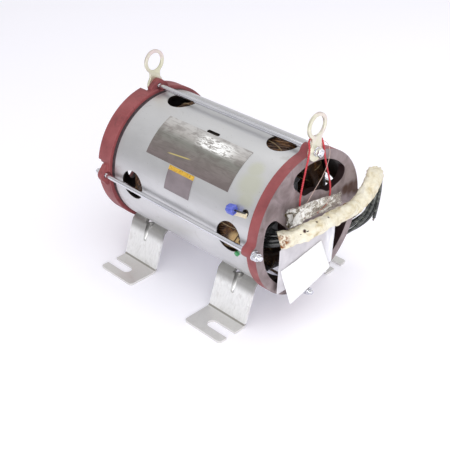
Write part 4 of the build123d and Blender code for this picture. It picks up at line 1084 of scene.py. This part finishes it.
rear_card = tag_card("rear_card", card_x=0.2126, top=[(-0.084, -0.0145), (-0.042, -0.0035), (0.066, -0.0055)],
                     bottom=[(-0.087, -0.1035), (0.062, -0.1055)], bow=-0.0012, curl=0.0, material=grey_card)
front_card = tag_card("front_card", card_x=0.2138, top=[(-0.080, -0.0575), (0.026, -0.0425)],
                      bottom=[(-0.055, -0.1385), (0.059, -0.1155)], bow=0.0018, curl=0.004, material=white_card)
for hung, hung_node, hung_slot in ((film, "film_tube", "clear_film"), (rear_card, "rear_tag", "grey_card"),
                                   (front_card, "front_tag", "white_card")):
    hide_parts(hung_node)
    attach(hung, "frame")
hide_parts("tie_cord")
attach(twine, "frame")
wire_route = [(0.2036, -0.004, 0.341), (0.2036, 0.012, 0.341), (0.211, 0.024, 0.338), (0.214, 0.033, 0.318),
              (0.2145, 0.022, 0.284), (0.2097, -0.008, 0.246), (0.2097, -0.03, 0.222), (0.2115, -0.036, 0.177)]
wire_thickness = 0.001
thin_wire = spline("thin_wire", wire_route, wire_thickness)
thin_wire.data.materials.append(tan_wire)
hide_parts("tag_wire")
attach(thin_wire, "frame")


# Studio: a sheet of white paper under the feet, glowing faintly lavender as painted light, and an even white tent all
# round.
# Three soft lamps light it, a large one above and two smaller ones at the viewer's side.
paper = finish("studio_paper", (0.93, 0.92, 0.95), roughness=0.9, specular=0.1)
paper_shader = paper.node_tree.nodes["Principled BSDF"]
# Painted light: the paper glows faintly lavender, which lifts and tints the shadows on it and under the motor.
paper_shader.inputs["Emission Color"].default_value = (0.82, 0.81, 1.0, 1.0)
paper_shader.inputs["Emission Strength"].default_value = 0.155
feed(paper, "Roughness", spread(paper, mottle(paper, 0.2), 0.3, 0.7, 0.85, 0.95))
drawn = bmesh.new()
bmesh.ops.create_grid(drawn, x_segments=8, y_segments=8, size=6.0)
paper_sheet = put_in("studio_paper", finished_mesh("studio_paper", drawn))
paper_sheet.data.materials.append(paper)
tent = bpy.data.worlds.new("studio_tent")
tent.use_nodes = True
outward = tent.node_tree.nodes.new("ShaderNodeTexCoord")
height = tent.node_tree.nodes.new("ShaderNodeSeparateXYZ")
tent_light = tent.node_tree.nodes.new("ShaderNodeValToRGB")
tent.node_tree.links.new(outward.outputs["Generated"], height.inputs["Vector"])
tent.node_tree.links.new(height.outputs["Z"], tent_light.inputs["Fac"])
tent_bands = ((0.0, 0.36), (0.25, 0.54), (0.5, 0.7), (0.85, 0.74))
while len(tent_light.color_ramp.elements) < len(tent_bands):
    tent_light.color_ramp.elements.new(0.5)
for band, (up, light) in zip(tent_light.color_ramp.elements, tent_bands):
    band.position = up
    band.color = (light, light, light * 1.01, 1.0)
tent.node_tree.links.new(tent_light.outputs["Color"], tent.node_tree.nodes["Background"].inputs["Color"])
tent.node_tree.nodes["Background"].inputs["Strength"].default_value = 1.0
bpy.context.scene.world = tent
for lamp_name, lamp_place, lamp_size, lamp_power in (("top_lamp", (0.5, 0.6, 2.1), 3.0, 20.0),
                                                    ("side_lamp", (1.7, -0.9, 1.0), 1.4, 11.0),
                                                    ("low_lamp", (1.1, -1.8, 0.5), 1.2, 14.0)):
    lamp = bpy.data.lights.new(lamp_name, "AREA")
    lamp.size = lamp_size
    lamp.energy = lamp_power
    lamp_stand = put_in(lamp_name, lamp)
    lamp_stand.location = lamp_place
    lamp_stand.rotation_euler = (Vector((0.0, 0.0, 0.15)) - Vector(lamp_place)).to_track_quat("-Z", "Y").to_euler()
